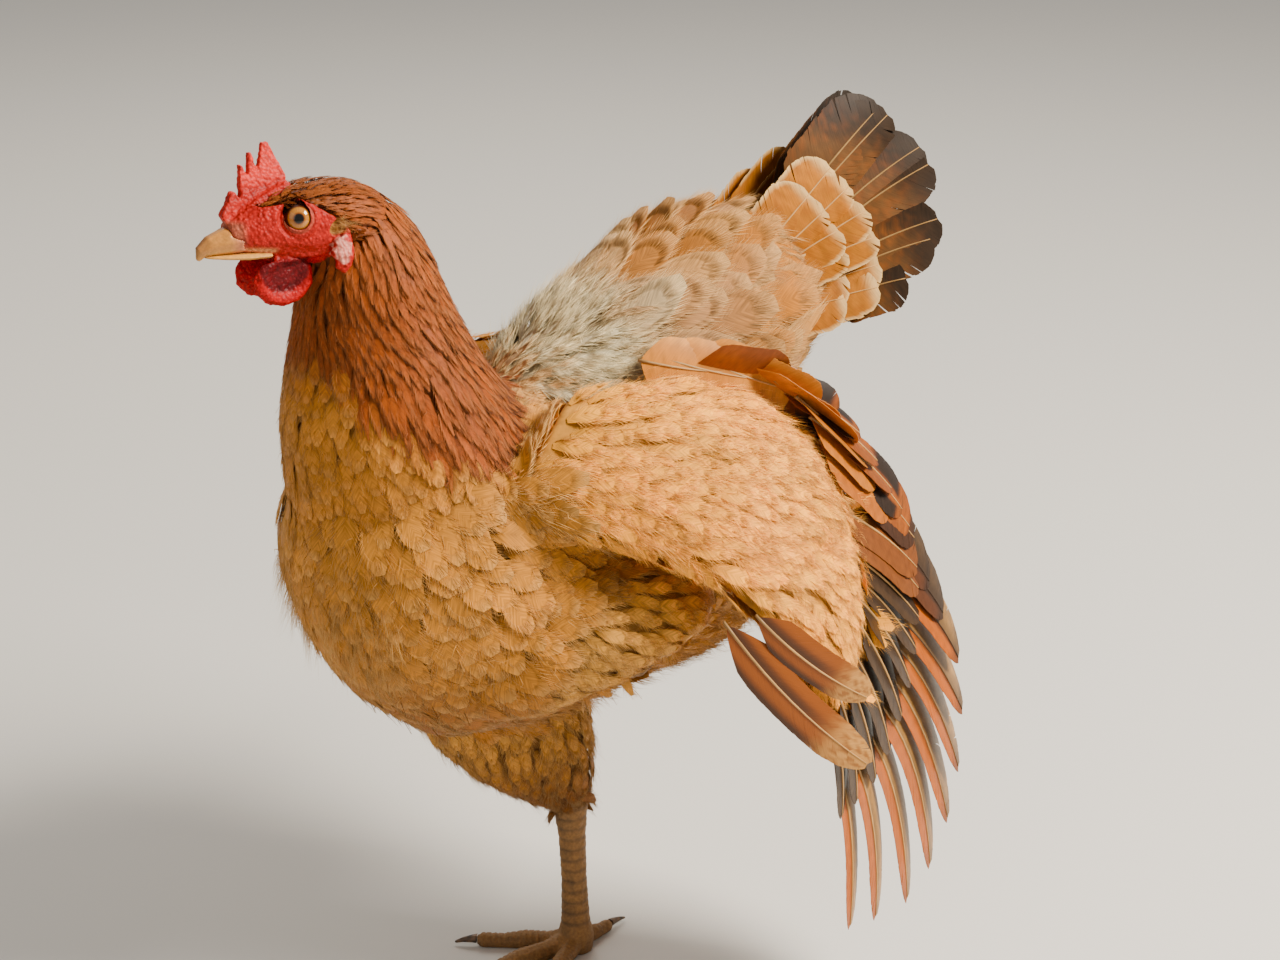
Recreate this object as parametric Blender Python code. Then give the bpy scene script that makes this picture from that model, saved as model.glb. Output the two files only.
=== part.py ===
"""A laying hen, life size and still: on her right leg, left leg tucked up, left wing stretched down and back.

Metres. The hen faces -X, her left is -Y and up is +Z. The origin is on the floor, under the shank of
the standing leg. Each solid reaches out to the tips of the feathers that cover it.
"""

from math import cos, pi, radians, sin

import bmesh
import bpy
from mathutils import Matrix, Vector

GAP = 0.0003  # between pieces that touch
SIDES = 18  # round the trunk and neck
MANY_FACES = 60  # a solid with more faces than this is thinned
THIN_ANGLE = radians(1.5)
BACK = Vector((1, 0, 0))
LEFT = Vector((0, -1, 0))
UP = Vector((0, 0, 1))

# The trunk from breast to vent: x, half width, top, bottom
TRUNK = (
    (-0.1440, 0.018, 0.258, 0.221),
    (-0.1370, 0.041, 0.280, 0.197),
    (-0.1210, 0.058, 0.300, 0.169),
    (-0.0890, 0.073, 0.312, 0.143),
    (-0.0450, 0.077, 0.310, 0.138),
    (0.0000, 0.075, 0.306, 0.145),
    (0.0400, 0.069, 0.310, 0.148),
    (0.0740, 0.058, 0.312, 0.149),
    (0.0980, 0.043, 0.308, 0.172),
    (0.1160, 0.028, 0.302, 0.208),
    (0.1270, 0.012, 0.292, 0.246),
)
# The saddle and tail coverts: x, half width, top, bottom
SADDLE = (
    (-0.0400, 0.020, 0.314, 0.286),
    (-0.0260, 0.034, 0.323, 0.270),
    (0.0000, 0.046, 0.341, 0.262),
    (0.0350, 0.052, 0.358, 0.262),
    (0.0700, 0.049, 0.367, 0.264),
    (0.1000, 0.041, 0.364, 0.276),
    (0.1160, 0.033, 0.352, 0.281),
    (0.1275, 0.017, 0.338, 0.291),
)
# The hackled neck upwards: x, z, half width, reach forward, reach back
NECK = (
    (-0.0660, 0.232, 0.061, 0.062, 0.054),
    (-0.0780, 0.262, 0.062, 0.065, 0.055),
    (-0.0900, 0.290, 0.056, 0.060, 0.050),
    (-0.0980, 0.318, 0.047, 0.052, 0.043),
    (-0.1035, 0.345, 0.036, 0.041, 0.036),
    (-0.1070, 0.368, 0.030, 0.033, 0.031),
    (-0.1100, 0.386, 0.0235, 0.025, 0.026),
    (-0.1120, 0.397, 0.0160, 0.017, 0.019),
    (-0.1130, 0.403, 0.0070, 0.007, 0.009),
)
# The head from bill to nape: x, z, half width, reach up, reach down
HEAD = (
    (-0.1745, 0.3965, 0.0060, 0.0055, 0.0060),
    (-0.1700, 0.3965, 0.0090, 0.0085, 0.0095),
    (-0.1600, 0.3975, 0.0128, 0.0130, 0.0142),
    (-0.1480, 0.3980, 0.0158, 0.0165, 0.0175),
    (-0.1350, 0.3970, 0.0180, 0.0182, 0.0195),
    (-0.1200, 0.3950, 0.0195, 0.0186, 0.0210),
    (-0.1080, 0.3915, 0.0180, 0.0165, 0.0195),
    (-0.1020, 0.3880, 0.0110, 0.0110, 0.0140),
)
# The two halves of the bill forward: x, z, half width, reach up, reach down
BILL_UPPER = (
    (-0.1580, 0.3945, 0.0110, 0.0085, 0.0060),
    (-0.1680, 0.3945, 0.0096, 0.0078, 0.0056),
    (-0.1760, 0.3940, 0.0072, 0.0068, 0.0050),
    (-0.1830, 0.3925, 0.0045, 0.0050, 0.0042),
    (-0.1872, 0.3900, 0.0024, 0.0028, 0.0032),
    (-0.1888, 0.3868, 0.0009, 0.0009, 0.0009),
)
BILL_LOWER = (
    (-0.1580, 0.3845, 0.0105, 0.0036, 0.0044),
    (-0.1680, 0.3848, 0.0088, 0.0032, 0.0036),
    (-0.1760, 0.3856, 0.0062, 0.0024, 0.0028),
    (-0.1825, 0.3864, 0.0036, 0.0015, 0.0018),
    (-0.1855, 0.3868, 0.0016, 0.0007, 0.0008),
)
EYE_AT = Vector((-0.1475, 0.0105, 0.4030))
EYE_RADIUS = 0.0068
WATTLE_AT = Vector((-0.1530, 0.0085, 0.3745))
WATTLE_REACH = (0.0150, 0.0026, 0.0120)
LOBE_AT = Vector((-0.1290, 0.0188, 0.3850))
LOBE_REACH = (0.0055, 0.0030, 0.0095)
# The comb: where it stands, and its spikes as x of the tip, height and half width at the foot
COMB_FOOT = (-0.1775, -0.1440)
COMB_SPIKES = (
    (-0.1700, 0.0060, 0.0030),
    (-0.1640, 0.0140, 0.0022),
    (-0.1590, 0.0165, 0.0024),
    (-0.1510, 0.0165, 0.0052),
)
COMB_THICK = 0.0034
COMB_LEAN = 0.30  # to her right, for each unit of height

# Drumsticks in their feathers: x, y, z, half width, reach back or up, reach forward or down
THIGH_RIGHT = (
    (-0.0330, 0.036, 0.192, 0.040, 0.044, 0.048),
    (-0.0280, 0.032, 0.165, 0.039, 0.044, 0.052),
    (-0.0190, 0.025, 0.138, 0.036, 0.038, 0.050),
    (-0.0075, 0.018, 0.113, 0.029, 0.028, 0.041),
    (0.0005, 0.012, 0.090, 0.019, 0.0175, 0.0250),
    (0.0030, 0.009, 0.075, 0.0094, 0.0102, 0.0102),
)
THIGH_LEFT = (
    (-0.0800, -0.036, 0.186, 0.026, 0.030, 0.024),
    (-0.0560, -0.054, 0.193, 0.030, 0.036, 0.028),
    (-0.0280, -0.068, 0.201, 0.029, 0.036, 0.021),
    (-0.0040, -0.076, 0.207, 0.024, 0.029, 0.017),
    (0.0120, -0.079, 0.211, 0.017, 0.020, 0.013),
    (0.0210, -0.080, 0.213, 0.008, 0.009, 0.008),
)
# Scaled shanks: x, y, z, half width, reach back or up, reach forward or down
SHANK_RIGHT = (
    (0.0030, 0.0100, 0.0880, 0.0084, 0.0090, 0.0090),
    (0.0030, 0.0085, 0.0760, 0.0082, 0.0090, 0.0090),
    (0.0025, 0.0065, 0.0600, 0.0063, 0.0072, 0.0072),
    (0.0015, 0.0035, 0.0380, 0.0060, 0.0066, 0.0066),
    (0.0005, 0.0010, 0.0180, 0.0068, 0.0072, 0.0072),
    (0.0000, 0.0000, 0.0080, 0.0090, 0.0092, 0.0092),
    (0.0000, 0.0000, -0.0010, 0.0082, 0.0086, 0.0086),
)
SHANK_LEFT = (
    (0.0140, -0.0780, 0.2140, 0.0074, 0.0080, 0.0080),
    (0.0090, -0.0700, 0.2090, 0.0064, 0.0070, 0.0070),
    (0.0030, -0.0620, 0.2040, 0.0068, 0.0074, 0.0074),
    (-0.0010, -0.0580, 0.2000, 0.0050, 0.0052, 0.0052),
)
# The tucked left foot: the hollow that it lies in, and its clenched toes
FOOT_LEFT = Vector((-0.0130, -0.0570, 0.1900))
FOOT_HOLLOW = (0.0275, 0.0180, 0.0250)
# Clenched toes: name, start from the foot's middle, length, half width, first slope and roll in degrees
TOES_CURLED = (
    ("inner", (0.002, 0.0098, 0.007), 0.039, 0.0045, -25, 230),
    ("middle", (0.002, 0.0, 0.007), 0.043, 0.0046, -25, 240),
    ("outer", (0.002, -0.0098, 0.007), 0.039, 0.0044, -25, 230),
    ("back", (0.0195, 0.0, 0.0042), 0.016, 0.0036, -112, -60),
)
# The standing foot's toes: name, degrees from straight ahead towards her left, length, half width at the root
TOES = (
    ("inner", 38, 0.044, 0.0056),
    ("middle", 0, 0.058, 0.0058),
    ("outer", -38, 0.047, 0.0054),
    ("back", 165, 0.021, 0.0048),
)
TOE_TAPER = 0.68
TOE_FLAT = 0.0006  # how much of each pad is pressed flat on the floor
CLAW_LENGTH = 0.011

# The left wing's coverts, as sections: leading point, trailing point, half thickness
ARM_LEFT = (
    ((-0.074, -0.056, 0.268), (-0.034, -0.044, 0.310), 0.011),
    ((-0.058, -0.077, 0.259), (0.012, -0.055, 0.314), 0.015),
    ((-0.034, -0.098, 0.248), (0.052, -0.070, 0.303), 0.015),
    ((-0.013, -0.119, 0.240), (0.076, -0.088, 0.280), 0.013),
    ((0.002, -0.132, 0.228), (0.085, -0.106, 0.246), 0.011),
)
HAND_LEFT = (
    ((-0.002, -0.128, 0.230), (0.078, -0.106, 0.246), 0.009),
    ((0.005, -0.135, 0.223), (0.082, -0.112, 0.232), 0.010),
    ((0.014, -0.142, 0.208), (0.080, -0.122, 0.205), 0.009),
    ((0.022, -0.147, 0.192), (0.068, -0.132, 0.184), 0.0075),
    ((0.030, -0.150, 0.176), (0.050, -0.143, 0.170), 0.0045),
)

# Flight feathers, from the innermost to the outermost: root, tip, leading web, trailing web.
SECONDARIES_LEFT = (
    ((0.026, -0.058, 0.315), (0.070, -0.074, 0.305), 0.008, 0.011),
    ((0.061, -0.071, 0.305), (0.097, -0.090, 0.282), 0.008, 0.013),
    ((0.083, -0.089, 0.281), (0.114, -0.101, 0.247), 0.008, 0.013),
    ((0.091, -0.100, 0.256), (0.122, -0.106, 0.226), 0.008, 0.013),
)
PRIMARIES_LEFT = (
    ((0.086, -0.107, 0.240), (0.128, -0.111, 0.204), 0.006, 0.013),
    ((0.084, -0.116, 0.218), (0.142, -0.120, 0.158), 0.005, 0.013),
    ((0.079, -0.127, 0.193), (0.131, -0.131, 0.100), 0.005, 0.012),
    ((0.062, -0.139, 0.168), (0.098, -0.142, 0.062), 0.005, 0.011),
    ((0.040, -0.149, 0.158), (0.052, -0.151, 0.062), 0.004, 0.009),
)
ALULA_LEFT = (
    ((0.014, -0.149, 0.216), (0.052, -0.160, 0.182), 0.006, 0.008),
    ((-0.001, -0.144, 0.212), (0.050, -0.164, 0.151), 0.008, 0.008),
)
SECONDARIES_RIGHT = (
    ((0.064, 0.050, 0.300), (0.110, 0.036, 0.306), 0.005, 0.010),
    ((0.074, 0.060, 0.272), (0.120, 0.042, 0.282), 0.006, 0.011),
    ((0.071, 0.067, 0.246), (0.114, 0.052, 0.256), 0.006, 0.011),
)
PRIMARIES_RIGHT = (
    ((0.068, 0.070, 0.232), (0.122, 0.048, 0.236), 0.005, 0.009),
    ((0.046, 0.077, 0.212), (0.100, 0.057, 0.208), 0.005, 0.009),
)
TAIL_HALF = (
    ((0.1212, -0.0080, 0.3617), (0.174, -0.0090, 0.4075), 0.013, 0.016),
    ((0.1333, -0.0105, 0.3470), (0.192, -0.022, 0.385), 0.013, 0.016),
    ((0.1310, -0.0215, 0.3345), (0.183, -0.045, 0.358), 0.013, 0.016),
    ((0.1260, -0.0290, 0.3200), (0.158, -0.052, 0.334), 0.012, 0.014),
)
# The folded right wing's coverts: x, y, z, half height, reaches out and in
ARM_RIGHT = (
    (-0.0960, 0.050, 0.264, 0.010, 0.003, 0.004),
    (-0.0860, 0.061, 0.262, 0.028, 0.008, 0.010),
    (-0.0600, 0.073, 0.258, 0.043, 0.012, 0.014),
    (-0.0150, 0.079, 0.256, 0.048, 0.013, 0.014),
    (0.0300, 0.075, 0.258, 0.044, 0.012, 0.014),
    (0.0600, 0.065, 0.264, 0.034, 0.010, 0.012),
    (0.0720, 0.060, 0.268, 0.020, 0.006, 0.008),
)
# A flight feather's outline: share of its length, share of its width
VANE = ((0.0, 0.50), (0.30, 0.96), (0.80, 0.94), (1.0, 0.25))
SHAFT_THICK = (0.0009, 0.0005)  # half thickness at the shaft, at the root and at the tip
WEB_THICK = 0.0003  # half thickness along the edges


whole = {}  # the mesh of each piece before anything is cut from it


def start():
    """Empties the scene."""
    for ob in list(bpy.data.objects):
        bpy.data.objects.remove(ob)


def material(name, colour, roughness):
    """A plain Principled finish; colour is an sRGB hex value."""
    made = bpy.data.materials.new(name)
    made.use_nodes = True
    shader = made.node_tree.nodes["Principled BSDF"]
    parts = [int(colour[i : i + 2], 16) / 255 for i in (0, 2, 4)]
    linear = [c / 12.92 if c <= 0.04045 else ((c + 0.055) / 1.055) ** 2.4 for c in parts]
    shader.inputs["Base Color"].default_value = (*linear, 1)
    shader.inputs["Roughness"].default_value = roughness
    shader.inputs["Metallic"].default_value = 0.0
    return made


def node(name, bm, finish):
    """Makes an object of the bmesh, faces outward and shaded smooth."""
    bmesh.ops.recalc_face_normals(bm, faces=bm.faces)
    bmesh.ops.triangulate(bm, faces=bm.faces)
    mesh = bpy.data.meshes.new(name)
    bm.to_mesh(mesh)
    bm.free()
    mesh.materials.append(finish)
    mesh.shade_smooth()
    mesh.set_sharp_from_angle(angle=radians(40))
    ob = bpy.data.objects.new(name, mesh)
    bpy.context.scene.collection.objects.link(ob)
    whole[name] = mesh.copy()
    return ob


def smoothed(rows, steps):
    """Rows of numbers with steps between each two, on a Catmull-Rom curve through them."""
    rows = [tuple(rows[0])] + [tuple(r) for r in rows] + [tuple(rows[-1])]
    fine = []
    for a, b, c, d in zip(rows, rows[1:], rows[2:], rows[3:]):
        for k in range(steps):
            t = k / steps
            fine.append(
                tuple(
                    0.5 * (2 * q + (r - p) * t + (2 * p - 5 * q + 4 * r - s) * t**2 + (3 * q - p - 3 * r + s) * t**3)
                    for p, q, r, s in zip(a, b, c, d)
                )
            )
    fine.append(rows[-1])
    return fine


def loft(rings):
    """A closed solid through rings of points, each with the same count."""
    bm = bmesh.new()
    loops = []
    for points in rings:
        circle = bmesh.ops.create_circle(bm, segments=len(points), radius=1)["verts"]
        for vert, point in zip(circle, points):
            vert.co = point
        loops.append(circle)
    for low, high in zip(loops, loops[1:]):
        for i in range(len(low)):
            bm.faces.new((low[i - 1], low[i], high[i], high[i - 1]))
    bm.faces.new(loops[0])
    bm.faces.new(reversed(loops[-1]))
    return bm


def oval(centre, side, above, below, sides):
    """Points of an oval with half width side; above and below are its reaches along their own direction."""
    points = []
    for k in range(sides):
        turn = 2 * pi * k / sides
        rise = above * sin(turn) if sin(turn) > 0 else below * -sin(turn)
        points.append(centre + side * cos(turn) + rise)
    return points


def body_loft(rows, steps=1, sides=SIDES):
    """A solid along X from rows of x, half width, top and bottom."""
    rings = []
    for x, half, top, bottom in smoothed(rows, steps):
        middle = (top + bottom) / 2
        rise = UP * (top - middle)
        rings.append(oval(Vector((x, 0, middle)), LEFT * half, rise, -rise, sides))
    return loft(rings)


def tube(rows, side=LEFT, steps=1, sides=16):
    """A solid along a path: rows of x, y, z, half width, reach one way and reach the other way."""
    fine = smoothed(rows, steps)
    places = [Vector(row[:3]) for row in fine]
    rings = []
    for i, row in enumerate(fine):
        along = (places[min(i + 1, len(fine) - 1)] - places[max(i - 1, 0)]).normalized()
        across = (side - along * side.dot(along)).normalized()
        rise = across.cross(along)
        rings.append(oval(places[i], across * row[3], rise * row[4], rise * -row[5], sides))
    return loft(rings)


def bake(ob):
    """Puts the result of the object's modifiers into its mesh."""
    shaped = ob.evaluated_get(bpy.context.evaluated_depsgraph_get())
    mesh = bpy.data.meshes.new_from_object(shaped)
    ob.modifiers.clear()
    ob.data = mesh


def thin(ob, angle):
    """Joins faces that lie within the angle of one another and makes triangles of them again."""
    bm = bmesh.new()
    bm.from_mesh(ob.data)
    bmesh.ops.dissolve_limit(bm, angle_limit=angle, verts=bm.verts, edges=bm.edges)
    bmesh.ops.triangulate(bm, faces=bm.faces)
    bm.to_mesh(ob.data)
    bm.free()


def combine(ob, other, operation):
    """Booleans the other object into ob."""
    step = ob.modifiers.new(operation.lower(), "BOOLEAN")
    step.operation = operation
    step.solver = "EXACT"
    step.object = other
    bake(ob)


def fit(ob, *neighbours):
    """Cuts away what the neighbours fill when whole, with a hair's gap round them."""
    for neighbour in neighbours:
        bm = bmesh.new()
        bm.from_mesh(whole[neighbour.name])
        bm.normal_update()
        moves = [v.normal * GAP * min(v.calc_shell_factor(), 3) for v in bm.verts]
        for vert, move in zip(bm.verts, moves):
            vert.co += move
        grown = node("cutter", bm, ob.data.materials[0])
        combine(ob, grown, "DIFFERENCE")
        bpy.data.objects.remove(grown)
    return ob


def upright(rows):
    """Rows of x, z and three reaches, put on the midline."""
    return [(x, 0, z, *reaches) for x, z, *reaches in rows]


def ball(name, at, reach, finish, segments=16):
    """An ellipsoid with the three reaches."""
    bm = bmesh.new()
    bmesh.ops.create_uvsphere(bm, u_segments=segments, v_segments=segments * 5 // 8, radius=1)
    bmesh.ops.rotate(bm, verts=bm.verts, matrix=Matrix.Rotation(pi / 2, 3, "X"))
    bmesh.ops.scale(bm, verts=bm.verts, vec=reach)
    bmesh.ops.translate(bm, verts=bm.verts, vec=at)
    return node(name, bm, finish)


def on_floor(bm):
    """Presses the underside flat at the floor."""
    every = bm.verts[:] + bm.edges[:] + bm.faces[:]
    cut = bmesh.ops.bisect_plane(bm, geom=every, plane_co=(0, 0, 0), plane_no=UP, clear_inner=True)
    rim = [e for e in cut["geom_cut"] if isinstance(e, bmesh.types.BMEdge)]
    bmesh.ops.holes_fill(bm, edges=rim, sides=0)
    return bm


def comb_solid():
    """A single comb: a low base with upright spikes, thicker at the foot and leaning to her right."""
    ahead, behind = COMB_FOOT
    low, rise = 0.4045, 0.013 / (behind - ahead)
    outline = [(ahead, low)]
    for tip, height, half in COMB_SPIKES:
        foot = low + (tip - ahead) * rise
        outline += [(tip - half - 0.0005, foot + 0.35 * height), (tip - 0.3 * half, foot + height)]
        outline += [(tip + 0.3 * half, foot + height), (tip + half, foot + 0.40 * height)]
    outline += [(behind, low + (behind - ahead) * rise), (behind - 0.003, low - 0.001), (ahead + 0.006, low - 0.009)]
    bm = bmesh.new()
    verts = [bm.verts.new((x, COMB_THICK / 2, z)) for x, z in outline]
    face = bm.faces.new(verts)
    grown = bmesh.ops.extrude_face_region(bm, geom=[face])["geom"]
    moved = [v for v in grown if isinstance(v, bmesh.types.BMVert)]
    bmesh.ops.translate(bm, verts=moved, vec=LEFT * COMB_THICK)
    for vert in bm.verts:
        above = max(vert.co.z - low, 0)
        vert.co.y = vert.co.y * (1.3 - above * 20) + above * COMB_LEAN
    return bm


def pad(sections, steps=1, sides=14):
    """A wing's feathered arm or hand: a flat loft through sections from the leading to the trailing edge."""
    rows = smoothed([(*lead, *trail, thick) for lead, trail, thick in sections], steps)
    lead = [Vector(row[:3]) for row in rows]
    trail = [Vector(row[3:6]) for row in rows]
    middle = [(a + b) / 2 for a, b in zip(lead, trail)]
    rings = []
    for i, row in enumerate(rows):
        along = middle[min(i + 1, len(rows) - 1)] - middle[max(i - 1, 0)]
        chord = (trail[i] - lead[i]) / 2
        rise = chord.cross(along).normalized() * row[6]
        rings.append(oval(middle[i], chord, rise, -rise, sides))
    return loft(rings)


def vane(root, tip, face, across, lead, trail):
    """One flight feather as a closed blade: a shaft and two webs; across points to the trailing web."""
    rings = []
    for share, full in VANE:
        spine = root.lerp(tip, share)
        shaft = SHAFT_THICK[0] + (SHAFT_THICK[1] - SHAFT_THICK[0]) * share
        front, rear = spine - across * lead * full, spine + across * trail * full
        thin, thick = face * WEB_THICK, face * shaft
        rings.append([front - thin, front + thin, spine + thick, rear + thin, rear - thin, spine - thick])
    return loft(rings)


def fan(name, keys, count, outward, tilt, stem, finish):
    """Flight feathers joined by the strip that they grow from.

    The keys are read off evenly for count feathers. Each lies in the sheet that the roots and tips
    span, tilted about its shaft so that its trailing web passes under its inner neighbour.
    """
    steps = 8
    fine = smoothed([(*root, *tip, lead, trail) for root, tip, lead, trail in keys], steps)
    roots = [Vector(row[:3]) for row in fine]
    ends = [roots[0] * 2 - roots[steps], *roots[::steps], roots[-1] * 2 - roots[-1 - steps]]
    strip = [(*place, stem, stem * 0.75, stem * 0.75) for place in ends[1:-1]]
    reach = stem * 0.9
    first, last = (ends[0] - ends[1]).normalized() * reach, (ends[-1] - ends[-2]).normalized() * reach
    strip = [(*(ends[1] + first), stem * 0.5, stem * 0.4, stem * 0.4), *strip]
    strip += [(*(ends[-2] + last), stem * 0.5, stem * 0.4, stem * 0.4)]
    ob = node(name, tube(strip, side=outward, sides=6), finish)
    for k in range(count):
        place = k * (len(fine) - 1) / (count - 1)
        i = min(int(place), len(fine) - 2)
        row = [a + (b - a) * (place - i) for a, b in zip(fine[i], fine[i + 1])]
        root, tip = Vector(row[:3]), Vector(row[3:6])
        along = (tip - root).normalized()
        outer = roots[i + 1] - roots[i]
        face = along.cross(outer).normalized()
        if face.dot(outward) < 0:
            face = -face
        across = face.cross(along).normalized()
        if across.dot(outer) > 0:
            across = -across
        turned = across * cos(tilt) - face * sin(tilt)
        blade = node("blade", vane(root, tip, face * cos(tilt) + across * sin(tilt), turned, *row[6:8]), finish)
        combine(ob, blade, "UNION")
        bpy.data.objects.remove(blade)
    whole[name] = ob.data.copy()
    return ob


def mirrored(keys):
    """The same feathers on her other side."""
    return [((r[0], -r[1], r[2]), (t[0], -t[1], t[2]), lead, trail) for r, t, lead, trail in keys]


def standing_toe(side, name, heading, length, half):
    """A toe laid on the floor from under the shank, and its claw."""
    turn = radians(heading) * (-1 if side == "right" else 1)
    ahead = Vector((-cos(turn), -sin(turn), 0))
    across = ahead.cross(UP)
    rows = []
    for share in (0, 0.25, 0.5, 0.75, 1.0):
        knuckle = 1 + 0.07 * cos(share * 4 * pi)
        reach = half * (1 + (TOE_TAPER - 1) * share) * knuckle
        place = ahead * (0.003 + length * share) + UP * (reach - TOE_FLAT)
        rows.append((*place, reach, reach, reach))
    end = rows[-1]
    rows.append((*(Vector(end[:3]) + ahead * end[3] * 0.6), *(end[3] * 0.6,) * 3))
    toe = node(f"toe_{side}_{name}", on_floor(tube(rows, side=across, sides=8)), SCALE)
    tip = Vector(end[:3])
    rows = []
    for share in (0, 0.35, 0.7, 1.0):
        reach = end[3] * (0.72 - 0.55 * share)
        drop = UP * (tip.z - reach - 0.0005) * share**1.6
        rows.append((*(tip + UP * 0.0006 - drop + ahead * CLAW_LENGTH * 1.25 * share), reach, reach, reach))
    claw = node(f"claw_{side}_{name}", tube(rows, side=across, sides=6), CLAW)
    return toe, fit(claw, toe)


def rolled(place, length, half, taper, slope, roll, count):
    """Rows for a tube that sets off forward at a slope and rolls down as it tapers."""
    rows = []
    for k in range(count + 1):
        turn = radians(slope - roll * k / count)
        reach = half * (1 + (taper - 1) * k / count)
        rows.append((*place, reach, reach, reach))
        place = place + (UP * sin(turn) - BACK * cos(turn)) * length / count
    return rows


def curled_toe(side, name, at, length, half, slope, roll):
    """A clenched toe that rolls up under the foot, and its claw."""
    rows = rolled(FOOT_LEFT + Vector(at), length, half, TOE_TAPER, slope, roll, 6)
    toe = node(f"toe_{side}_{name}", tube(rows, side=LEFT, sides=8), SCALE)
    rows = rolled(Vector(rows[-1][:3]), CLAW_LENGTH, rows[-1][3] * 0.72, 0.3, slope - roll, roll / 8, 3)
    claw = node(f"claw_{side}_{name}", tube(rows, side=LEFT, sides=6), CLAW)
    return toe, fit(claw, toe)


start()
BUFF = material("buff_feather", "C98B4B", 0.8)
HACKLE = material("hackle_feather", "9A5524", 0.7)
SKIN = material("red_skin", "B7282C", 0.5)
HORN = material("bill_horn", "C9A06A", 0.4)
SCALE = material("leg_scale", "B98E6C", 0.6)
CLAW = material("claw_horn", "4A382C", 0.4)
EYE = material("eye", "C77A1E", 0.1)
QUILL = material("flight_feather", "8A4B28", 0.5)
TAIL = material("tail_feather", "4C3C30", 0.5)

trunk = node("trunk", body_loft(TRUNK), BUFF)
neck = node("neck", tube(upright(NECK), sides=SIDES), HACKLE)
fit(neck, trunk)
saddle = node("saddle", body_loft(SADDLE), BUFF)
fit(saddle, trunk, neck)
head = node("head", tube(upright(HEAD), sides=16), SKIN)
fit(head, neck)
eyes = {}
for side, sign in (("left", -1), ("right", 1)):
    eyes[side] = ball(f"eye_{side}", (EYE_AT.x, EYE_AT.y * sign, EYE_AT.z), (EYE_RADIUS,) * 3, EYE, 10)
    fit(head, eyes[side])
bill_upper = node("bill_upper", tube(upright(BILL_UPPER), sides=10), HORN)
bill_lower = node("bill_lower", tube(upright(BILL_LOWER), sides=10), HORN)
fit(bill_upper, head)
fit(bill_lower, head, bill_upper)
comb = node("comb", comb_solid(), SKIN)
fit(comb, head, bill_upper)
for side, sign in (("left", -1), ("right", 1)):
    wattle = ball(f"wattle_{side}", (WATTLE_AT.x, WATTLE_AT.y * sign, WATTLE_AT.z), WATTLE_REACH, SKIN, 10)
    fit(wattle, head, bill_lower)
    lobe = ball(f"earlobe_{side}", (LOBE_AT.x, LOBE_AT.y * sign, LOBE_AT.z), LOBE_REACH, SKIN, 8)
    fit(lobe, head, neck)

arm = node("wing_left_arm", pad(ARM_LEFT), BUFF)
fit(arm, trunk, neck, saddle)
hand = node("wing_left_hand", pad(HAND_LEFT), QUILL)
fit(hand, arm)
outward = Vector((0.1, -0.85, 0.5))
secondaries = fan("wing_left_secondaries", SECONDARIES_LEFT, 9, outward, radians(14), 0.0052, QUILL)
fit(secondaries, arm, hand, saddle, trunk)
primaries = fan("wing_left_primaries", PRIMARIES_LEFT, 10, outward, radians(13), 0.0045, QUILL)
fit(primaries, arm, hand, secondaries)
alula = fan("wing_left_alula", ALULA_LEFT, 2, outward, radians(8), 0.004, QUILL)
fit(alula, hand, arm)

arm = node("wing_right_arm", tube(ARM_RIGHT, side=UP, sides=16), BUFF)
fit(arm, trunk, neck, saddle)
secondaries = fan("wing_right_secondaries", SECONDARIES_RIGHT, 6, LEFT * -1, radians(13), 0.0042, QUILL)
fit(secondaries, arm, saddle, trunk)
primaries = fan("wing_right_primaries", PRIMARIES_RIGHT, 4, LEFT * -1, radians(13), 0.0040, QUILL)
fit(primaries, arm, secondaries, trunk)

thigh = node("thigh_left", tube(THIGH_LEFT, sides=16), BUFF)
hollow = ball("hollow", FOOT_LEFT, FOOT_HOLLOW, BUFF, 10)
fit(thigh, trunk)
for cut in (trunk, thigh):
    combine(cut, hollow, "DIFFERENCE")
bpy.data.objects.remove(hollow)
shank = node("shank_left", tube(SHANK_LEFT, sides=12), SCALE)
fit(thigh, shank)
fit(trunk, shank)
for row in TOES_CURLED:
    toe, claw = curled_toe("left", *row)
    fit(toe, shank)

thigh = node("thigh_right", tube(THIGH_RIGHT, sides=16), BUFF)
fit(thigh, trunk)
shank = node("shank_right", on_floor(tube(SHANK_RIGHT, sides=12)), SCALE)
fit(shank, thigh)
placed = [shank]
for row in TOES:
    toe, claw = standing_toe("right", *row)
    fit(toe, *placed)
    placed.append(toe)

tail_left = fan("tail_left", TAIL_HALF, 6, Vector((-0.3, -0.8, 0.4)), radians(14), 0.0042, TAIL)
tail_right = fan("tail_right", mirrored(TAIL_HALF), 6, Vector((-0.3, 0.8, 0.4)), radians(14), 0.0042, TAIL)
for half in (tail_left, tail_right):
    fit(half, saddle, trunk)

for ob in bpy.data.objects:
    if len(ob.data.polygons) > MANY_FACES:
        thin(ob, THIN_ANGLE)
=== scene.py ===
"""A laying hen, life size and still: one skin with its folds and scales, and her plumage laid on it.

Metres. She faces -X, her left is -Y and up is +Z. The skin lies inside the frame's solids by the depth
of the coat; every feather is a thin closed vane or a tuft of closed barbs, planted on the skin and laid
along it.
"""

from math import cos, pi, radians, sin

import bmesh
import bpy
import numpy as np
from mathutils import Matrix, Vector
from mathutils.bvhtree import BVHTree


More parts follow.
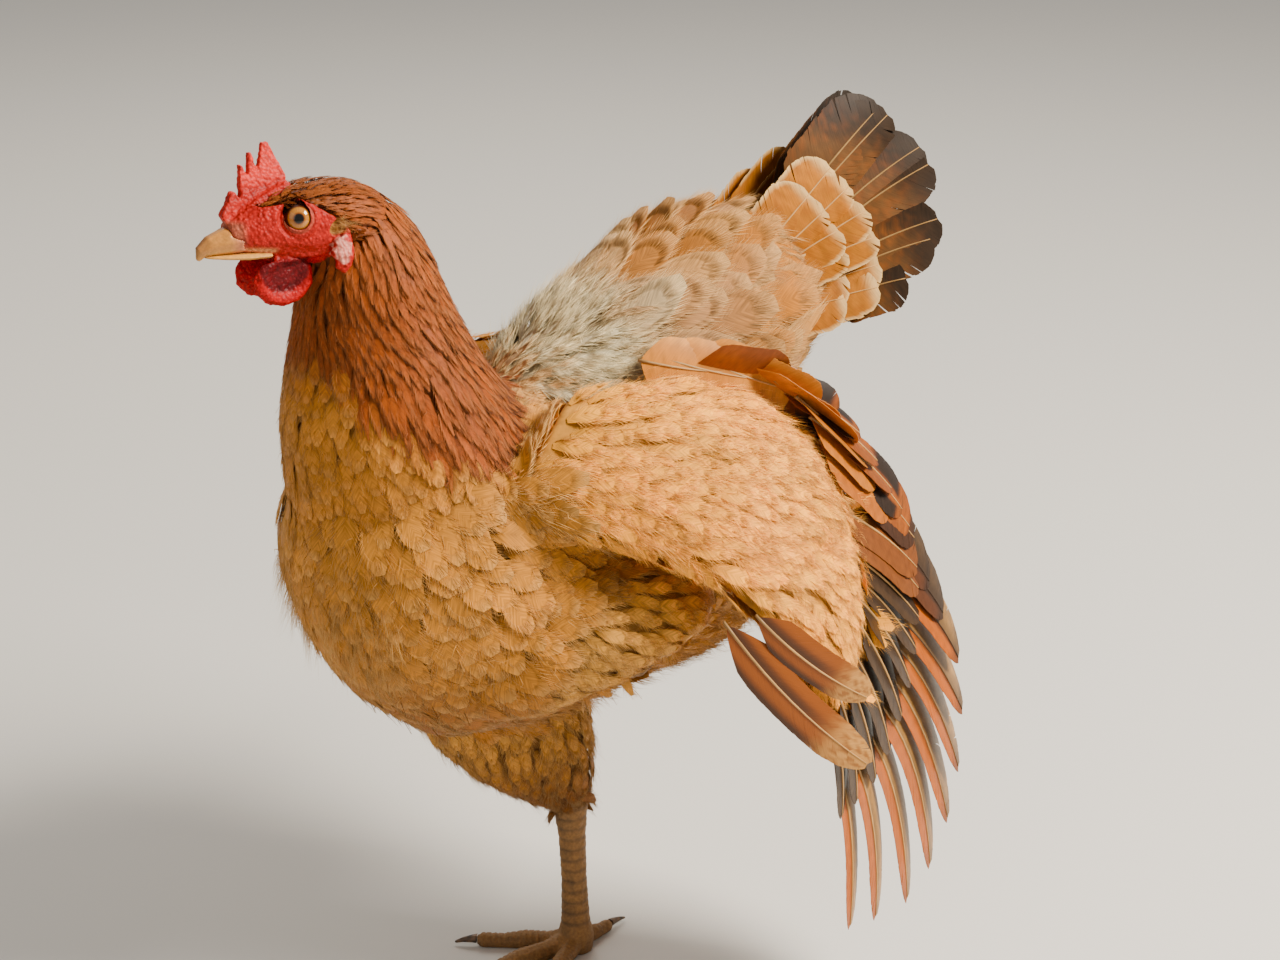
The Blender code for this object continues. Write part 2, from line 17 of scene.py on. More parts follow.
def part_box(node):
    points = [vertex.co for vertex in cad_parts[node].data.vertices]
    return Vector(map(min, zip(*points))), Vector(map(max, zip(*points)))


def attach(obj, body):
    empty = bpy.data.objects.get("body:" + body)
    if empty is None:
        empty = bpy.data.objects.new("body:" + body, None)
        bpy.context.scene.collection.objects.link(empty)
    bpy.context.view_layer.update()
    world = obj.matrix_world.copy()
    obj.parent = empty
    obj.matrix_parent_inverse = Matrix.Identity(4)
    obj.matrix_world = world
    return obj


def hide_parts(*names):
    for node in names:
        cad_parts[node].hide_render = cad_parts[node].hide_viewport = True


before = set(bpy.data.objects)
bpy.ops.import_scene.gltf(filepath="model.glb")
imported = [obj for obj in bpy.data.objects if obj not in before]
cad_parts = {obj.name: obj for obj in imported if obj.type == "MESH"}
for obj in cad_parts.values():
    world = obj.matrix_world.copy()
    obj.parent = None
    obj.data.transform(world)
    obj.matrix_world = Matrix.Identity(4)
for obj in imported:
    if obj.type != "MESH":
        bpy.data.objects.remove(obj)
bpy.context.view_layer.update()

DRAW = np.random.default_rng(7)
BACK = np.array((1.0, 0.0, 0.0))
SIDES = (("left", 1), ("right", -1))  # with the sign that mirrors a place on her left to that side

# ---------------------------------------------------------------- small tools


def hex_colour(value):
    """An sRGB hex value as linear red, green and blue."""
    parts = np.array([int(value[i : i + 2], 16) / 255 for i in (0, 2, 4)])
    return np.where(parts <= 0.04045, parts / 12.92, ((parts + 0.055) / 1.055) ** 2.4)


def unit(vectors):
    """Vectors at length one."""
    return vectors / np.maximum(np.linalg.norm(vectors, axis=-1, keepdims=True), 1e-9)


def ease(low, high, value):
    """0 below low, 1 above high and smooth between."""
    share = np.clip((value - low) / (high - low), 0, 1)
    return share * share * (3 - 2 * share)


def mix(a, b, share):
    """Between two colours or vectors, for an array of shares."""
    return a + (b - a) * np.asarray(share)[..., None]


def ripple(points, size, seed):
    """A smooth pattern between about -1 and 1: six waves over one another, with lumps of that size in metres."""
    turn = np.random.default_rng(seed)
    total = np.zeros(len(points))
    for _ in range(6):
        way = unit(turn.normal(size=3))
        total += np.sin(points @ way * (2 * pi / size) * turn.uniform(0.7, 1.4) + turn.uniform(0, 6))
    return total / 2.6


def read(rows, key, width, kind=np.float32):
    """One property of all rows of a mesh as an array, width values to a row."""
    found = np.empty(len(rows) * width, kind)
    rows.foreach_get(key, found)
    return found.reshape(-1, width)


def corners(mesh):
    """The mesh's points as an array."""
    return read(mesh.vertices, "co", 3).astype(float)


def directions(mesh):
    """The mesh's point normals as an array."""
    return read(mesh.vertex_normals, "vector", 3).astype(float)


def put(mesh, points):
    """Moves the mesh's points."""
    mesh.vertices.foreach_set("co", points.astype(np.float32).ravel())
    mesh.update()


def tint(mesh, colours):
    """Stores a linear colour for each point, which the finishes read as tone."""
    layer = mesh.attributes.get("tone") or mesh.attributes.new("tone", "FLOAT_COLOR", "POINT")
    full = np.ones((len(mesh.vertices), 4), np.float32)
    full[:, :3] = colours
    layer.data.foreach_set("color", full.ravel())


def shown(name, mesh, finish=None):
    """An object at the origin, smooth shaded, that rides on the hen's one body."""
    mesh.name = name
    if finish:
        mesh.materials.clear()
        mesh.materials.append(finish)
    mesh.shade_smooth()
    piece = placed(name, mesh)
    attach(piece, "root")
    return piece


def made(bm):
    """A mesh of the bmesh."""
    mesh = bpy.data.meshes.new("work")
    bm.to_mesh(mesh)
    bm.free()
    return mesh


def copy_of(*names):
    """A bmesh of the frame's named solids with their corners joined."""
    bm = bmesh.new()
    for name in names:
        bm.from_mesh(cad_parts[name].data)
    bmesh.ops.remove_doubles(bm, verts=bm.verts, dist=1e-6)
    return bm


def placed(name, data):
    """A new object of the scene."""
    ob = bpy.data.objects.new(name, data)
    bpy.context.scene.collection.objects.link(ob)
    return ob


def shaped(mesh, *steps):
    """The mesh after modifiers, each given as its kind and its settings."""
    ob = placed("work", mesh)
    for kind, settings in steps:
        step = ob.modifiers.new(kind, kind)
        for key, value in settings.items():
            setattr(step, key, value)
    result = bpy.data.meshes.new_from_object(ob.evaluated_get(bpy.context.evaluated_depsgraph_get()))
    bpy.data.objects.remove(ob)
    return result


def fused(bm, size, rounds):
    """One closed surface round all of the bmesh's bodies, in faces of that size, smoothed."""
    return shaped(
        made(bm),
        ("REMESH", {"mode": "VOXEL", "voxel_size": size}),
        ("SMOOTH", {"factor": 0.5, "iterations": rounds}),
    )


def smoothed(rows, steps):
    """Rows of numbers with steps between each two, on a Catmull-Rom curve through them."""
    rows = np.array([rows[0], *rows, rows[-1]], float)
    fine = []
    for a, b, c, d in zip(rows, rows[1:], rows[2:], rows[3:]):
        for k in range(steps):
            t = k / steps
            bend = (2 * a - 5 * b + 4 * c - d) * t**2 + (3 * b - a - 3 * c + d) * t**3
            fine.append(0.5 * (2 * b + (c - a) * t + bend))
    return np.array([*fine, rows[-1]])


# ---------------------------------------------------------------- places taken from the solids


def middle_of(name):
    """The centre of a solid's box."""
    low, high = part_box(name)
    return np.array((low + high) / 2)


def grown_tree(name):
    """A search tree over one solid."""
    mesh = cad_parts[name].data
    return BVHTree.FromPolygons([v.co for v in mesh.vertices], [p.vertices for p in mesh.polygons])


def nearest_of(points, names):
    """For each point, the number of the nearest of the named solids."""
    reach = []
    for name in names:
        tree = grown_tree(name)
        reach.append([tree.find_nearest(Vector(p))[3] for p in points])
    return np.argmin(reach, axis=0)


EYE_SET = np.array((0.0020, 0.0002, -0.0018))  # where the fine eye sits from the solid one, for the left eye
EYES = {side: middle_of(f"eye_{side}") + EYE_SET * (1, sign, 1) for side, sign in SIDES}
EYE_RADIUS = float(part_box("eye_left")[1].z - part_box("eye_left")[0].z) / 2
EYE_LOOK = unit(np.array((-0.44, -0.87, 0.20)))  # the left eye's axis
EYE_AXES = {side: unit(EYE_LOOK * (1, sign, 1)) for side, sign in SIDES}
WATTLES = {side: middle_of(f"wattle_{side}") for side in ("left", "right")}
COMB_LEAN = 0.30  # to her right, for each unit of height
COMB_FOOT_Z = float(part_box("comb")[0].z) + 0.009
COMB_BACK = float(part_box("comb")[1].x)

# How deep the coat is over each solid of flesh
COAT_DEPTH = {
    "trunk": 0.0056,
    "saddle": 0.0060,
    "neck": 0.0044,
    "head": 0.0024,
    "thigh_left": 0.0040,
    "thigh_right": 0.0042,
    "wing_left_arm": 0.0028,
    "wing_left_hand": 0.0024,
    "wing_right_arm": 0.0030,
}
TOES = [f"toe_{side}_{name}" for side in ("left", "right") for name in ("inner", "middle", "outer", "back")]
LEGS = ["shank_left", "shank_right", *TOES]
# Size of the skin's faces under the coat, on the legs, on the head, and of the faces of horn
BODY_GRAIN, LEG_GRAIN, HEAD_GRAIN, BILL_GRAIN, CLAW_GRAIN = 0.0026, 0.00085, 0.00056, 0.00045, 0.00035

# ---------------------------------------------------------------- the skin


def round_eye(points, side):
    """Height of each point along an eye's axis, above its centre, and distance from the axis."""
    apart = points - EYES[side]
    height = apart @ EYE_AXES[side]
    return height, np.linalg.norm(apart - height[:, None] * EYE_AXES[side], axis=1)


def spread(mesh, values, rounds):
    """Values of the points, evened out over their neighbours."""
    a, b = read(mesh.edges, "vertices", 2, np.int32).T
    count = np.bincount(a, minlength=len(values)) + np.bincount(b, minlength=len(values))
    for _ in range(rounds):
        total = np.bincount(a, values[b], len(values)) + np.bincount(b, values[a], len(values))
        values = 0.5 * values + 0.5 * total / np.maximum(count, 1)
    return values


def bar(bm, start, end, thick_start, thick_end):
    """A round bar between two points, to join what lies inside the flesh."""
    start, end = Vector(start), Vector(end)
    turn = (end - start).to_track_quat("Z", "Y").to_matrix().to_4x4()
    bmesh.ops.create_cone(
        bm,
        cap_ends=True,
        segments=14,
        radius1=thick_start,
        radius2=thick_end,
        depth=(end - start).length,
        matrix=Matrix.Translation((start + end) / 2) @ turn,
    )


def body_skin():
    """The skin under the plumage, inside the solids by the depth of the coat."""
    names = list(COAT_DEPTH)
    mesh = fused(copy_of(*names), BODY_GRAIN, 8)
    points = corners(mesh)
    depth = np.array(list(COAT_DEPTH.values()))[nearest_of(points, names)]
    depth = spread(mesh, depth, 6)
    put(mesh, points - directions(mesh) * depth[:, None])
    return shaped(mesh, ("REMESH", {"mode": "VOXEL", "voxel_size": BODY_GRAIN}), ("SMOOTH", {"iterations": 2}))


def leg_skin():
    """Shanks and toes, with their scutes; each runs up inside the feathered drumstick."""
    bm = copy_of(*LEGS)
    low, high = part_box("shank_right")
    hock = Vector(((low.x + high.x) / 2 + 0.002, (low.y + high.y) / 2 + 0.004, high.z))
    bar(bm, hock - Vector((0, 0.001, 0.010)), hock + Vector((-0.003, 0.006, 0.028)), 0.0068, 0.0080)
    low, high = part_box("shank_left")
    knee = (high.x - 0.008, low.y + 0.008, high.z - 0.010)
    bar(bm, knee, (high.x - 0.030, low.y + 0.010, high.z - 0.020), 0.006, 0.008)
    tucked = Vector((low.x + 0.006, high.y - 0.006, low.z + 0.006))
    for ball, radius in ((tucked, 0.0085), (Vector((-0.001, 0, 0.0052)), 0.0062)):
        bmesh.ops.create_uvsphere(bm, u_segments=12, v_segments=8, radius=radius, matrix=Matrix.Translation(ball))
    return fused(bm, LEG_GRAIN, 3)


def head_skin():
    """Face, comb, wattles and lobes in one fine surface, drawn in under the small feathers of crown and nape."""
    bm = copy_of("head", "comb", "wattle_left", "wattle_right", "earlobe_left", "earlobe_right")
    for side in (-1, 1):
        root = WATTLES["left"] * (1, -side, 1) + (0.001, -0.001 * side, 0.008)
        bar(bm, root, root + (0.001, -0.003 * side, 0.009), 0.0034, 0.0042)
    mesh = fused(bm, HEAD_GRAIN, 6)
    bm = bmesh.new()
    bm.from_mesh(mesh)
    near = [e for e in bm.edges if min((e.verts[0].co - Vector(c)).length for c in EYES.values()) < 0.0105]
    bmesh.ops.subdivide_edges(bm, edges=near, cuts=1, use_grid_fill=True)
    bmesh.ops.triangulate(bm, faces=bm.faces)
    mesh = made(bm)
    points = corners(mesh)
    normals = directions(mesh)
    under = COAT_DEPTH["head"] * feathered_head(points)
    points = points - normals * under[:, None]
    inside = np.array((-0.125, 0.0, 0.397))  # the back of the head shrinks towards here, to end inside the neck
    points = inside + (points - inside) * (1 - 0.40 * ease(-0.124, -0.108, points[:, 0]))[:, None]
    points = face_forms(points, normals)
    for side in EYES:
        points = lids(points, side)
    put(mesh, points)
    return mesh


HEAD_AXIS_Z = 0.398
EAR_AT = np.array((-0.1300, 0.0190, 0.3965))
# How far round from the top the small feathers reach, in degrees, for each place along the head
FEATHERED_AT = (-0.1640, -0.1610, -0.1560, -0.1480, -0.1400, -0.1320, -0.1250, -0.1220, -0.1190)
FEATHERED_TO = (20, 34, 43, 46, 56, 78, 104, 140, 180)


def ear_cover(points):
    """1 on the tuft of bristly feathers over the ear."""
    x, y, z = points.T
    along, over = x - EAR_AT[0] - 0.35 * (z - EAR_AT[2]), z - EAR_AT[2]
    return ease(1.15, 0.85, np.hypot(along / 0.0042, over / 0.0036)) * (abs(y) > 0.010)


def feathered_head(points):
    """1 where small feathers grow on the head, 0 on the bare face."""
    x, y, z = points.T
    round_from_top = np.degrees(np.arctan2(abs(y), z - HEAD_AXIS_Z))
    limit = np.interp(x, FEATHERED_AT, FEATHERED_TO)
    grown = ease(2.5, -2.5, round_from_top - limit + 2 * ripple(points, 0.006, 2)) * (x > -0.1650)
    comb = ease(0.0038, 0.0028, abs(y - COMB_LEAN * np.maximum(z - COMB_FOOT_Z, 0))) * (x < COMB_BACK)
    for side in EYES:
        height, ring = round_eye(points, side)
        grown = grown * (1 - (height > 0) * ease(0.0086, 0.0076, ring))
    return np.clip(np.maximum(grown * (1 - comb), ear_cover(points)), 0, 1)


def across_wattle(x, z):
    """Distance from the middle of a wattle, as a share of its width and height."""
    low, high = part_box("wattle_left")
    aside = (x - (low.x + high.x) / 2) / (high.x - low.x)
    return np.hypot(aside, (z - (low.z + high.z) / 2 - 0.001) / (high.z - low.z))


def face_forms(points, normals):
    """The folds of the bare face: the lore's hollow, the cheek, the fold back from the gape, cupped wattles."""
    x, y, z = points.T
    side = np.sign(y)
    move = np.zeros(len(points))
    gape = np.array((EYES["left"][0] - 0.002, 0.0, EYES["left"][2] - 0.0165))
    lore = np.hypot(x - (gape[0] - 0.0115), z - (gape[2] + 0.0150))
    move -= 0.0008 * np.exp(-((lore / 0.0042) ** 2)) * ease(0.005, 0.009, abs(y))
    cheek = np.hypot((x - gape[0] - 0.006) / 1.5, z - gape[2] - 0.0065)
    move += 0.0007 * np.exp(-((cheek / 0.0045) ** 2)) * ease(0.008, 0.012, abs(y))
    fold = z - gape[2] - 0.10 * (x - gape[0]) + 0.0006
    along = ease(-0.006, -0.002, x - gape[0]) * ease(0.022, 0.012, x - gape[0])
    move += 0.0008 * np.exp(-((fold / 0.0016) ** 2)) * along * ease(0.006, 0.010, abs(y))
    move -= 0.0007 * np.exp(-(((fold + 0.0034) / 0.0014) ** 2)) * along * ease(0.006, 0.010, abs(y))
    low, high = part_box("wattle_left")
    reach = across_wattle(x, z)
    outer = (z < high.z - 0.002) & (abs(y) < abs(low.y) + 0.002) & (normals[:, 1] * side > 0.2)
    move += np.where(outer, 0.0007 * np.exp(-(((reach - 0.40) / 0.07) ** 2)) - 0.0016 * ease(0.37, 0.18, reach), 0)
    bare = 1 - feathered_head(points)
    move += bare * (0.00012 * ripple(points, 0.0030, 3) + 0.00010 * ripple(points, 0.0017, 4))
    return points + normals * move[:, None]


# The profile of the lids: distance from the eye's axis and height above its centre, in millimetres
LID_REACH = np.array((0.0, 4.4, 4.7, 4.95, 5.4, 6.0, 6.5, 7.1, 7.9, 9.0))
LID_HEIGHT = np.array((5.4, 3.9, 4.5, 5.5, 5.8, 5.4, 4.8, 4.9, 4.6, 4.2))
LID_OPENING = 0.00475


def lids(points, side):
    """Opens the skin over the eye and folds its edge into lids: a thick rim, a crease and a second fold."""
    height, reach = round_eye(points, side)
    globe = np.sqrt(np.maximum(EYE_RADIUS**2 - reach**2, 0))
    target = np.interp(reach, LID_REACH * 0.001, LID_HEIGHT * 0.001)
    target = np.where(reach < LID_OPENING, globe - 0.0012, target)
    hold = ease(0.0096, 0.0080, reach) * (height > 0.001)
    return points + EYE_AXES[side] * ((target - height) * hold)[:, None]


SCUTE_ROWS, TOE_SCUTE_ROWS = 185, 330  # to the metre


def scutes(points, normals):
    """The scales of shank and toes: broad overlapping plates in front and small ones behind."""
    x, y, z = points.T
    shank = ease(0.010, 0.016, z) * ease(0.098, 0.088, z)
    row = (z * SCUTE_ROWS) % 1.0
    front = ease(0.35, 0.75, -normals[:, 0] * 0.9 - normals[:, 1] * 0.25)
    plate = 0.00050 * (0.5 - row) - 0.00045 * np.exp(-(((row - 0.5) % 1 - 0.5) / 0.10) ** 2)
    side = 0.00022 * np.sin(z * 1300 + 1.6 * np.sin(y * 1500)) * np.sin(x * 1500 + z * 500)
    reach = np.hypot(x, y)
    toe_row = (reach * TOE_SCUTE_ROWS) % 1.0
    top = ease(0.1, 0.6, normals[:, 2]) * ease(0.014, 0.010, z) * ease(0.008, 0.012, reach)
    toe_plate = 0.00034 * (0.5 - toe_row) - 0.00036 * np.exp(-(((toe_row - 0.5) % 1 - 0.5) / 0.13) ** 2)
    tucked = (z > 0.14) * 0.00020 * (np.sin(z * 1700) + np.sin(x * 1700 + y * 600))
    move = shank * (front * plate + (1 - front) * side) + top * toe_plate + tucked
    move += 0.00008 * ripple(points, 0.0016, 5) * (z > 0.0012)
    return points + normals * move[:, None]


# ---------------------------------------------------------------- colours of the plumage

HACKLE = hex_colour("904204")
BREAST = hex_colour("B97822")
# painted shade: the breast colour as it looks on her shaded underside
BREAST_UNDERSIDE_SHADE = hex_colour("875014")
COVERT = hex_colour("F2A42C")
COVERT_RUST = hex_colour("D68420")
SADDLE = hex_colour("A06012")
DOWN = hex_colour("DACDA8")
CREAM = hex_colour("F2D290")
CROWN = hex_colour("7E3C08")
EAR = hex_colour("B87C38")
THIGH = hex_colour("D8983C")
FACE = hex_colour("A8170F")
COMB = hex_colour("CC2A20")
WATTLE = hex_colour("A80408")
# painted shadow in the upper hollow of each wattle
WATTLE_SHADOW = hex_colour("58040A")
LOBE = hex_colour("DE9482")
LID = hex_colour("A84432")
LID_EDGE = hex_colour("3A140E")
BILL_PALE = hex_colour("E2A768")
BILL_ROOT_PINK = hex_colour("B4664A")
SHANK = hex_colour("8E6638")
# darkens the legs: grime near the ground, darker grooves and front, painted shade on the tucked foot
GRIME_AND_SHADE = hex_colour("4A3A28")

PARTS = list(COAT_DEPTH)
PART = {name: k for k, name in enumerate(PARTS)}
# The lower edge of the hackle cape: how far back, and how high it is there
CAPE_AT = (-0.165, -0.143, -0.126, -0.107, -0.071, -0.045)
CAPE_EDGE = (0.400, 0.356, 0.326, 0.304, 0.293, 0.300)


def cape(points):
    """How far above the lower edge of the rusty hackle cape each place is, in metres."""
    return points[:, 2] - np.interp(points[:, 0], CAPE_AT, CAPE_EDGE)


def by_part(part, values):
    """For each place the value of its part of the skin."""
    found = np.zeros((len(part), 3))
    for name, value in values.items():
        found = np.where((part == PART[name])[:, None], value, found)
    return found


def plumage(points, part):
    """The colour that the plumage has at each place of the skin, with painted shade on her underside and thighs."""
    x, y, z = points.T
    patch = ripple(points, 0.060, 11)
    # painted shade: the breast darkens towards its lower front
    trunk = mix(BREAST, BREAST_UNDERSIDE_SHADE, ease(0.225, 0.165, z) * ease(-0.02, -0.08, x))
    trunk = mix(trunk, THIGH, 0.5 * ease(-0.04, 0.04, x))
    trunk = mix(trunk, DOWN, 0.55 * ease(0.292, 0.310, z) * ease(-0.075, -0.02, x))
    # painted shade: the belly darker still, below the breast
    trunk = mix(trunk, BREAST_UNDERSIDE_SHADE, 0.75 * ease(0.185, 0.155, z) * ease(-0.03, 0.02, x))
    front = mix(BREAST, HACKLE, np.clip(0.12 + 0.88 * ease(0.322, 0.356, z), 0, 1))
    neck = mix(front, HACKLE, ease(-0.002, 0.003, cape(points)))
    downy = 0.85 * ease(0.012, -0.010, x) + 0.20 * ease(0.010, 0.035, abs(y)) * ease(0.05, 0.01, x)
    saddle = mix(SADDLE, DOWN, np.clip(downy, 0, 1))
    saddle = mix(saddle, SADDLE * 1.15, 0.6 * ease(0.06, 0.10, x))
    saddle = mix(saddle, CREAM * 0.9, 0.15 * ease(0.1, 0.7, ripple(points, 0.030, 13)))
    head = mix(CROWN, HACKLE, ease(-0.145, -0.11, x))
    head = mix(head, EAR, ear_cover(points))
    # painted shade: the near thigh darkens towards its front
    thigh = mix(THIGH, THIGH * 0.82, ease(-0.02, -0.07, x))
    # painted shade: the far thigh darker all over, and darker still towards the bottom
    shaded_far_thigh = mix(THIGH * 0.85, BREAST_UNDERSIDE_SHADE, ease(0.15, 0.09, z))
    arm = mix(COVERT, COVERT_RUST, np.clip(0.35 + 0.5 * patch, 0, 1) * 0.6)
    tones = {"trunk": trunk, "saddle": saddle, "neck": neck, "head": head, "thigh_left": thigh}
    tones |= {"thigh_right": shaded_far_thigh, "wing_left_arm": arm, "wing_left_hand": mix(COVERT, COVERT_RUST, 0.25)}
    tones["wing_right_arm"] = mix(arm, COVERT_RUST, 0.4)
    return by_part(part, tones) * (1 + 0.10 * ripple(points, 0.018, 12) + 0.08 * patch)[:, None]


def bare_colour(points):
    """The colour of the bare head: comb, face, cupped wattles with painted shadow in their hollow, the pale lobe and
    the lids.
    """
    x, y, z = points.T
    low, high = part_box("comb")
    colour = mix(FACE, COMB, ease(low.z + 0.012, low.z + 0.018, z) * (x < high.x + 0.002))
    colour = mix(colour, COMB * 0.85, 0.6 * ease(-0.164, -0.172, x) * (z > 0.398))
    low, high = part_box("wattle_left")
    wattle = ease(high.z, high.z - 0.003, z) * (x < high.x + 0.003)
    colour = mix(colour, WATTLE, wattle)
    # painted shadow: the upper middle of each wattle's outer face is dark crimson, as if shaded by the face above
    hollow = ease(0.40, 0.30, across_wattle(x, z) + 0.5 * ((low.z + high.z) / 2 - z) / (high.z - low.z))
    colour = mix(colour, WATTLE_SHADOW, wattle * hollow * (abs(y) > abs(WATTLES["left"][1])))
    gape = np.exp(-(((z - 0.3885 + 0.10 * (x + 0.156)) / 0.0012) ** 2)) * ease(-0.1545, -0.1590, x) * (z < 0.394)
    colour = mix(colour, BILL_PALE, 0.6 * gape * (abs(y) > 0.004))
    base = ease(-0.1680, -0.1725, x) * ease(0.4035, 0.4005, z) * (z > 0.386)
    colour = mix(colour, BILL_ROOT_PINK, 0.75 * base)
    low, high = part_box("earlobe_left")
    reach = np.hypot((x - (low.x + high.x) / 2 + 0.001) / 0.0042, (z - (low.z + high.z) / 2 - 0.0022) / 0.0058)
    streak = 0.5 + 0.5 * np.sin((x * 0.9 + z * 0.25) * 3200 + 2.0 * ripple(points, 0.006, 7))
    lobe = ease(1.05, 0.80, reach + 0.18 * ripple(points, 0.004, 6)) * (abs(y) > 0.013)
    colour = mix(colour, mix(LOBE, FACE * 1.2, 0.55 * streak), lobe)
    for side in EYES:
        height, ring = round_eye(points, side)
        lid = (height > 0.001) * ease(0.0072, 0.0062, ring)
        colour = mix(colour, LID, 0.8 * lid)
        colour = mix(colour, LID_EDGE, (height > 0.001) * ease(0.0051, 0.0047, ring))
    return colour * (1 + 0.10 * ripple(points, 0.004, 8) + 0.06 * ripple(points, 0.0014, 9))[:, None]


def leg_colour(points, normals):
    """Tan scutes, darker in the grooves and down the front, dirty near the ground, with painted shade on the foot
    tucked up under her belly.
    """
    z = points[:, 2]
    row = (z * SCUTE_ROWS) % 1.0
    groove = np.exp(-(((row - 0.5) % 1 - 0.5) / 0.16) ** 2) * (z > 0.014)
    front = ease(0.2, 0.8, -normals[:, 0])
    dirt_and_shade = np.clip(0.55 * groove + 0.35 * front * (0.6 + 0.6 * ripple(points, 0.010, 15)), 0, 0.85)
    # painted shade: the foot tucked up under her belly is darkened all over
    dirt_and_shade = np.maximum(dirt_and_shade, 0.45 * (z > 0.14))
    dirt_and_shade = np.maximum(dirt_and_shade, 0.5 * ease(0.010, 0.002, z) * (0.5 + 0.5 * ripple(points, 0.006, 16)))
    return mix(SHANK, GRIME_AND_SHADE, np.clip(dirt_and_shade, 0, 1))


# ---------------------------------------------------------------- finishes


def add(tree, kind, links=(), **settings):
    """Adds a shader node; settings name its inputs or properties, links give (input, socket) pairs."""
    made_node = tree.nodes.new(kind)
    for key, value in settings.items():
        if key in made_node.inputs:
            made_node.inputs[key].default_value = value
        elif key.replace("_", " ") in made_node.inputs:
            made_node.inputs[key.replace("_", " ")].default_value = value
        else:
            setattr(made_node, key, value)
    for entry, socket in links:
        tree.links.new(socket, made_node.inputs[entry])
    return made_node


def finish_of(name, roughness, **settings):
    """A Principled finish and its parts: the material, its tree and its shader."""
    material = bpy.data.materials.new(name)
    material.use_nodes = True
    tree = material.node_tree
    shader = tree.nodes["Principled BSDF"]
    for key, value in {"Roughness": roughness, **settings}.items():
        shader.inputs[key.replace("_", " ")].default_value = value
    return material, tree, shader


def varied(tree, shader, colour, factor, at_low, at_high, low=0.3, high=0.7):
    """The base colour is the colour times a share, which is at_low where factor is low and at_high where high."""
    span = {"From_Min": low, "From_Max": high, "To_Min": at_low, "To_Max": at_high}
    shade = add(tree, "ShaderNodeMapRange", [("Value", factor)], **span)
    times = add(tree, "ShaderNodeVectorMath", [(0, colour), (1, shade.outputs["Result"])], operation="MULTIPLY")
    tree.links.new(times.outputs["Vector"], shader.inputs["Base Color"])
    return times.outputs["Vector"]


def embossed(tree, shader, height, strength, distance, **settings):
    """The surface shows that height as fine relief, distance deep in metres."""
    bump = add(tree, "ShaderNodeBump", [("Height", height)], Strength=strength, Distance=distance, **settings)
    tree.links.new(bump.outputs["Normal"], shader.inputs["Normal"])


def toned(tree, shader, spot, depth):
    """The stored tone, lighter and darker in specks of the given size; returns the colour and the place."""
    tone = add(tree, "ShaderNodeAttribute", attribute_name="tone")
    place = add(tree, "ShaderNodeTexCoord")
    specks = add(tree, "ShaderNodeTexNoise", [("Vector", place.outputs["Object"])], Scale=1 / spot, Detail=3.0)
    colour = varied(tree, shader, tone.outputs["Color"], specks.outputs["Fac"], 1 - depth, 1 + depth)
    return colour, place.outputs["Object"]


def plume_finish(name, roughness, line, strength, sheen, gloss):
    """Keratin barbs lying side by side: fine lines along each barb, satin, with a soft sheen at the rim."""
    soft = {"Sheen_Weight": sheen, "Sheen_Roughness": 0.45, "Specular_IOR_Level": gloss}
    material, tree, shader = finish_of(name, roughness, **soft)
    tone = add(tree, "ShaderNodeAttribute", attribute_name="tone")
    lie = add(tree, "ShaderNodeAttribute", attribute_name="lie")
    barb = (1 / (line * 14), 1 / line, 1)
    stretch = add(tree, "ShaderNodeMapping", [("Vector", lie.outputs["Vector"])], Scale=barb)
    noise = {"Scale": 1.0, "Detail": 2.0, "noise_dimensions": "2D"}
    lines = add(tree, "ShaderNodeTexNoise", [("Vector", stretch.outputs["Vector"])], **noise).outputs["Fac"]
    varied(tree, shader, tone.outputs["Color"], lines, 1 - strength, 1 + strength, 0.25, 0.75)
    embossed(tree, shader, lines, strength, 0.0002)
    return material


def under_plume():
    """Skin below the plumage: matte, in the plumage's own colours."""
    material, tree, shader = finish_of("skin_under_plumage", 0.9)
    toned(tree, shader, 0.004, 0.2)
    return material


def bare_skin():
    """Bare red skin of comb, face and wattles: living tissue in grains of about a millimetre, faintly moist."""
    living = {"Subsurface_Weight": 0.10, "Subsurface_Scale": 0.0015, "Subsurface_Radius": (1.0, 0.25, 0.15)}
    material, tree, shader = finish_of("bare_red_skin", 0.50, Specular_IOR_Level=0.16, **living)
    colour, place = toned(tree, shader, 0.0016, 0.12)
    cells = add(tree, "ShaderNodeTexVoronoi", [("Vector", place)], Scale=1 / 0.0012, feature="SMOOTH_F1")
    grain = cells.outputs["Distance"]
    varied(tree, shader, colour, grain, 1.25, 0.62, 0.05, 0.75)
    embossed(tree, shader, grain, 0.9, 0.0005, invert=True)
    return material


def leg_scale():
    """Horny scutes: dry, slightly waxy, darkened by the grime and painted shade of the stored tone."""
    material, tree, shader = finish_of("leg_scutes", 0.58, Specular_IOR_Level=0.3)
    place = toned(tree, shader, 0.0014, 0.22)[1]
    cells = add(tree, "ShaderNodeTexVoronoi", [("Vector", place)], Scale=1 / 0.0018, feature="DISTANCE_TO_EDGE")
    edge = add(tree, "ShaderNodeMapRange", [("Value", cells.outputs["Distance"])], From_Max=0.12)
    embossed(tree, shader, edge.outputs["Result"], 0.5, 0.0002)
    return material


UNDER = under_plume()
BARE = bare_skin()
SCUTE = leg_scale()

# ---------------------------------------------------------------- the skin, whole

SHADED = 0.55, 0.60  # the skin is this much darker than the plumage over it, on body and head
body = body_skin()
points = corners(body)
tint(body, plumage(points, nearest_of(points, PARTS)) * SHADED[0])

head = head_skin()
points = corners(head)
plumed_tone = plumage(points, np.full(len(points), PART["head"])) * SHADED[1]
tint(head, mix(bare_colour(points), plumed_tone, feathered_head(points)))

legs = leg_skin()
points, normals = corners(legs), directions(legs)
put(legs, scutes(points, normals))
tint(legs, leg_colour(points, normals))


